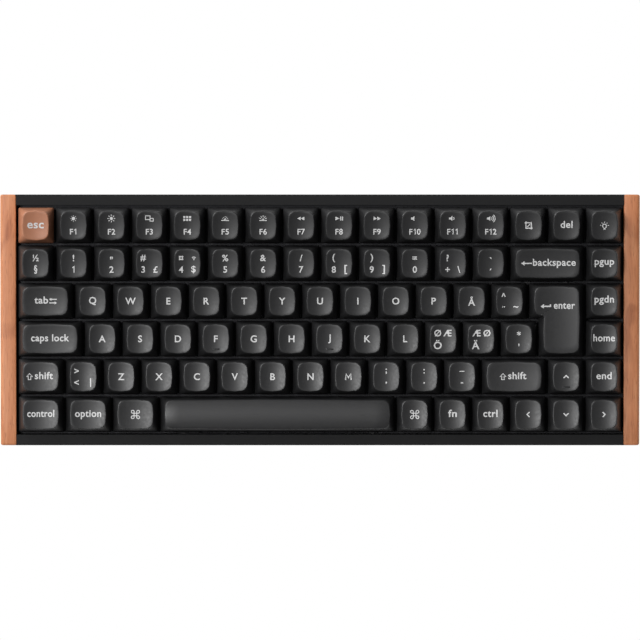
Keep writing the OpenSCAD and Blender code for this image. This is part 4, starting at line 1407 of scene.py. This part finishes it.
@dataclass(frozen=True)
class SwitchWorks:
    """Stems and springs under the keys of one body."""

    body: KeyBody
    keys: Sequence[Key]
    grid: Grid
    stem: SwitchStem = field(default_factory=SwitchStem)
    stabiliser: StabiliserStem = field(default_factory=StabiliserStem)
    spring: Spring = field(default_factory=Spring)
    travel: float = 4.0

    def build_stems(self, palette: Palette) -> bpy.types.Object:
        """The stems, which ride with their keys."""
        patches = []
        for key in self.keys:
            u, v = self.grid.middle(key)
            patches += [moved(patch, u, v) for patch in self.stem.patches()]
            for du, dv in stem_spots(key)[1:]:
                drawn = self.stabiliser.patches()
                if key.style is CapStyle.TALL:
                    drawn = [turned(patch) for patch in drawn]
                patches += [moved(patch, u + du, v + dv) for patch in drawn]
        piece = make_piece(f"stems_{self.short_name}", patches, [palette.stem])
        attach(piece, self.body.name)
        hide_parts(self.body.name)
        return piece

    def build_springs(self, palette: Palette) -> bpy.types.Object:
        """The springs, which stand in the case."""
        patches = []
        for key in self.keys:
            u, v = self.grid.middle(key)
            patches.append(moved(self.spring.patch(), u, v))
        piece = make_piece(f"springs_{self.short_name}", patches, [palette.steel])
        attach(piece, "case")
        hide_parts("switch_springs")
        middle = self.grid.middle(self.keys[0])
        anchor = PLATE.place(np.array([[*middle, self.spring.low]]))[0] * MM
        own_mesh(piece)
        return piece

    @property
    def short_name(self) -> str:
        """The body's name without its first word."""
        return self.body.name.removeprefix("keys_").removeprefix("key_")


# ---------- case ----------


@dataclass(frozen=True)
class WoodBar:
    """A wooden side bar: an upside-down L that laps over the top frame's rail, with its edges rounded.

    corner_radii and side_steps belong to the outline's six corners and sides, from the leg's lower inner
    corner on. end_share is how far the ends are rounded, as a share of the edge.
    """

    lip: float = 3.0
    rail_fit: float = 3.15
    drop: float = 6.5
    rise: float = 7.5
    edge: float = 1.8
    corner_radii: tuple[float, ...] = (0.3, 0.5, 1.8, 0.6, 0.3, 0.2)
    corner_steps: int = 5
    side_steps: tuple[int, ...] = (3, 4, 2, 1, 1, 3)
    end_share: float = 0.6
    end_steps: int = 5
    sections: int = 12

    def outline(self, node: str) -> Outline:
        """The bar's outline over x and the height above the plate, read from its CAD node's width."""
        x = node_points(node)[:, 0]
        mirror = 1 if x.mean() > 0 else -1
        inner, outer = sorted(abs(value) for value in (x.min(), x.max()))
        leg = inner + self.rail_fit
        under = self.rise - self.lip
        corners = [(leg, -self.drop), (outer, -self.drop), (outer, self.rise)]
        corners += [(inner, self.rise), (inner, under), (leg, under)]
        flat = np.array(corners) * (mirror, 1)
        return Outline(flat[::mirror], np.array(self.corner_radii[::mirror], float))

    def build(self, node: str, palette: Palette) -> bpy.types.Object:
        """Carries the outline from the front to the back and rounds both ends.

        Over an end's rounding the outline is drawn in by the edge's share times one less the sine of an
        angle, and stands back by that share times one less its cosine. The height follows the plate's slope.
        """
        outline = self.outline(node)
        y = node_points(node)[:, 1]
        angle = np.linspace(0, math.pi / 2, self.end_steps)
        inset = self.edge * (1 - np.sin(angle)) * self.end_share
        back_off = self.edge * (1 - np.cos(angle)) * self.end_share
        straight = np.linspace(y.min() + back_off[-1], y.max() - back_off[-1], self.sections)[1:-1]
        places = np.concatenate([y.min() + back_off, straight, (y.max() - back_off)[::-1]])
        depths = np.concatenate([inset, np.zeros(len(straight)), inset[::-1]])
        rings = []
        for place, depth in zip(places, depths):
            flat = outline.inset(depth).points(self.corner_steps, self.side_steps)
            rings.append(self.section(flat, place))
        leg = sorted(outline.corners[:, 0], key=abs)[2]
        outer = sorted(outline.corners[:, 0], key=abs)[-1]
        pole = np.array([[(leg + outer) / 2, self.rise - self.lip / 2]])
        first, last = (self.section(pole, place)[0] for place in (places[0], places[-1]))
        piece = make_piece(node + "_bar", [closed_rings(np.stack(rings), first, last)], [palette.wood])
        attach(piece, "case")
        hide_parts(node)
        return piece

    def section(self, flat: Array, place: float) -> Array:
        """Row-frame points of an outline that stands upright at one y, with its heights on the slope."""
        normal = PLATE.axes[2]
        height = PLATE.origin[2] + (flat[:, 1] - normal[1] * (place - PLATE.origin[1])) / normal[2]
        return np.stack([flat[:, 0], np.full(len(flat), place), height], -1)


@dataclass(frozen=True)
class Bevels:
    """A softened edge on a CAD node: the loose triangles are welded, then sharp edges are bevelled."""

    width: float
    segments: int = 2
    angle: float = 35.0
    weld: float = 0.01

    def apply(self, node: str) -> None:
        """Adds the modifiers to a node."""
        holder = frame["nodes"][node]
        weld = holder.modifiers.new("weld", "WELD")
        weld.merge_threshold = self.weld * MM
        bevel = holder.modifiers.new("bevel", "BEVEL")
        bevel.width = self.width * MM
        bevel.segments = self.segments
        bevel.limit_method = "ANGLE"
        bevel.angle_limit = math.radians(self.angle)
        bevel.harden_normals = False


class CaseDress:
    """Finishes and softened edges for the CAD nodes that stay in view."""

    edges = {
        "top_frame": 0.2,
        "bottom_case": 0.3,
        "rubber_pads": 0.3,
        "foot_left": 0.35,
        "foot_right": 0.35,
        "mode_slider": 0.2,
        "system_slider": 0.2,
    }
    tip_reach = 1.61
    board_thickness = 1.65
    port_board_thickness = 1.25

    def __init__(self, palette: Palette) -> None:
        """Keeps the palette and the finish of each node."""
        self.palette = palette
        self.finishes = {
            "bottom_case": palette.case,
            "top_frame": palette.anodised,
            "switch_plate": palette.plate,
            "plate_foam": palette.foam,
            "case_foam": palette.foam,
            "circuit_board": palette.board,
            "battery_pack": palette.foil,
            "port_board": palette.board,
            "switch_bases": palette.housing,
            "switch_covers": palette.housing,
            "stabiliser_housings": palette.housing,
            "case_screws": palette.screw,
            "rubber_pads": palette.rubber,
            "stabiliser_wire_space": palette.steel,
            "stabiliser_wire_backspace": palette.steel,
            "stabiliser_wire_enter": palette.steel,
            "foot_left": palette.case,
            "foot_right": palette.case,
            "mode_slider": palette.slider,
            "system_slider": palette.slider,
        }

    def second_finish(self, node: str, chosen: Array, material: Material) -> None:
        """Gives the chosen faces of a node another finish."""
        mesh = frame["nodes"][node].data
        mesh.materials.append(material)
        index = np.zeros(len(mesh.polygons), np.int32)
        mesh.polygons.foreach_get("material_index", index)
        index[chosen] = len(mesh.materials) - 1
        mesh.polygons.foreach_set("material_index", index)

    @staticmethod
    def face_centres(node: str) -> Array:
        """Centres of a node's faces in the row frame, in millimetres."""
        mesh = frame["nodes"][node].data
        centres = np.empty(len(mesh.polygons) * 3)
        mesh.polygons.foreach_get("center", centres)
        return centres.reshape(-1, 3) / MM

    def build(self) -> None:
        """Dresses every node, softens the edges in view, and marks chips, shells and rubber tips."""
        for node, material in self.finishes.items():
            mesh = frame["nodes"][node].data
            mesh.materials.clear()
            mesh.materials.append(material)
            LOG.info("dressed %s", node)
        for node, width in self.edges.items():
            Bevels(width).apply(node)
        for node in ("foot_left", "foot_right"):
            y = self.face_centres(node)[:, 1]
            self.second_finish(node, y < y.min() + self.tip_reach, self.palette.rubber)
        w = PLATE.local(self.face_centres("circuit_board"))[:, 2]
        self.second_finish("circuit_board", w < w.max() - self.board_thickness, self.palette.chip)
        z = self.face_centres("port_board")[:, 2]
        self.second_finish("port_board", z > z.min() + self.port_board_thickness, self.palette.steel)


# ---------- studio ----------


@dataclass(frozen=True)
class Studio:
    """A pale floor, soft lights from the back left, and a camera straight above.

    Lengths are metres here, apart from the sensor and view_width. lamps are listed as name, place, size
    and energy. camera_height is measured from the plane of the caps' top faces.
    """

    lamps: tuple[tuple[str, Colour, float, float], ...] = (
        ("key", (-2.38, 2.27, 1.48), 2.3, 112.0),
        ("softbox", (-1.9, 0.25, 4.6), 1.2, 145.0),
    )
    sky: float = 0.15
    floor_gap: float = 0.0002
    camera_height: float = 3.6
    sensor: float = 36.0
    view_width: float = 321.6
    cap_plane: float = 0.034
    floor_half: float = 6.0

    def add_floor(self) -> None:
        """A plain white floor just under the rubber pads."""
        half = self.floor_half
        mesh = bpy.data.meshes.new("floor")
        corners = [(-half, -half, 0), (half, -half, 0), (half, half, 0), (-half, half, 0)]
        mesh.from_pydata(corners, [], [(0, 1, 2, 3)])
        floor = bpy.data.objects.new("floor", mesh)
        floor.location.z = -self.floor_gap
        shader = Shader("floor")
        shader.set(Base_Color=(0.0, 0.0, 0.0), Roughness=0.9, Specular_IOR_Level=0.0)
        shader.set(Emission_Color=(1.0, 1.0, 1.0), Emission_Strength=1.0)
        mesh.materials.append(shader.material)
        bpy.context.scene.collection.objects.link(floor)

    def add_light(self, name: str, place: tuple[float, float, float], size: float, energy: float) -> None:
        """A square area light that looks at the origin."""
        light = bpy.data.lights.new(name, "AREA")
        light.size = size
        light.energy = energy
        holder = bpy.data.objects.new(name, light)
        holder.location = place
        aim = -holder.location
        holder.rotation_euler = aim.to_track_quat("-Z", "Y").to_euler()
        bpy.context.scene.collection.objects.link(holder)

    def add_camera(self) -> None:
        """A long lens straight above the keyboard, with the back edge up."""
        camera = bpy.data.cameras.new("camera")
        camera.sensor_width = self.sensor
        camera.lens = self.sensor * self.camera_height / (self.view_width * MM)
        camera.clip_end = 100.0
        holder = bpy.data.objects.new("camera", camera)
        holder.location = (0.0, 0.0, self.camera_height + self.cap_plane)
        bpy.context.scene.collection.objects.link(holder)
        bpy.context.scene.camera = holder

    def build(self) -> None:
        """Builds floor, lights, sky and camera."""
        scene = bpy.context.scene
        scene.view_settings.view_transform = "Standard"
        world = bpy.data.worlds.new("sky")
        world.use_nodes = True
        background = world.node_tree.nodes["Background"]
        background.inputs["Color"].default_value = (1.0, 1.0, 1.0, 1.0)
        background.inputs["Strength"].default_value = self.sky
        scene.world = world
        self.add_floor()
        for name, place, size, energy in self.lamps:
            self.add_light(name, place, size, energy)
        self.add_camera()
        LOG.info("studio ready")


def main() -> None:
    """Builds the studio, the caps, the works under them and the case, and reports each piece."""
    logging.basicConfig(level=logging.INFO, format="%(name)s: %(message)s")
    Studio().build()
    palette = Palette()
    lettering = Lettering()
    bodies = key_bodies()
    grid = Grid.between("key_arrow_left", "key_arrow_right", units=2)
    keys = function_row() + number_row() + letter_rows() + front_rows()
    mould = CapMould()
    for key in keys:
        Keycap(key, grid, mould).build(palette, lettering, bodies)
    for body in bodies:
        held = [key for key in keys if body.holds(*grid.middle(key))]
        works = SwitchWorks(body, held, grid)
        works.build_stems(palette)
        works.build_springs(palette)
    for side in ("left", "right"):
        WoodBar().build(f"wood_side_{side}", palette)
    CaseDress(palette).build()


if __name__ == "__main__":
    main()
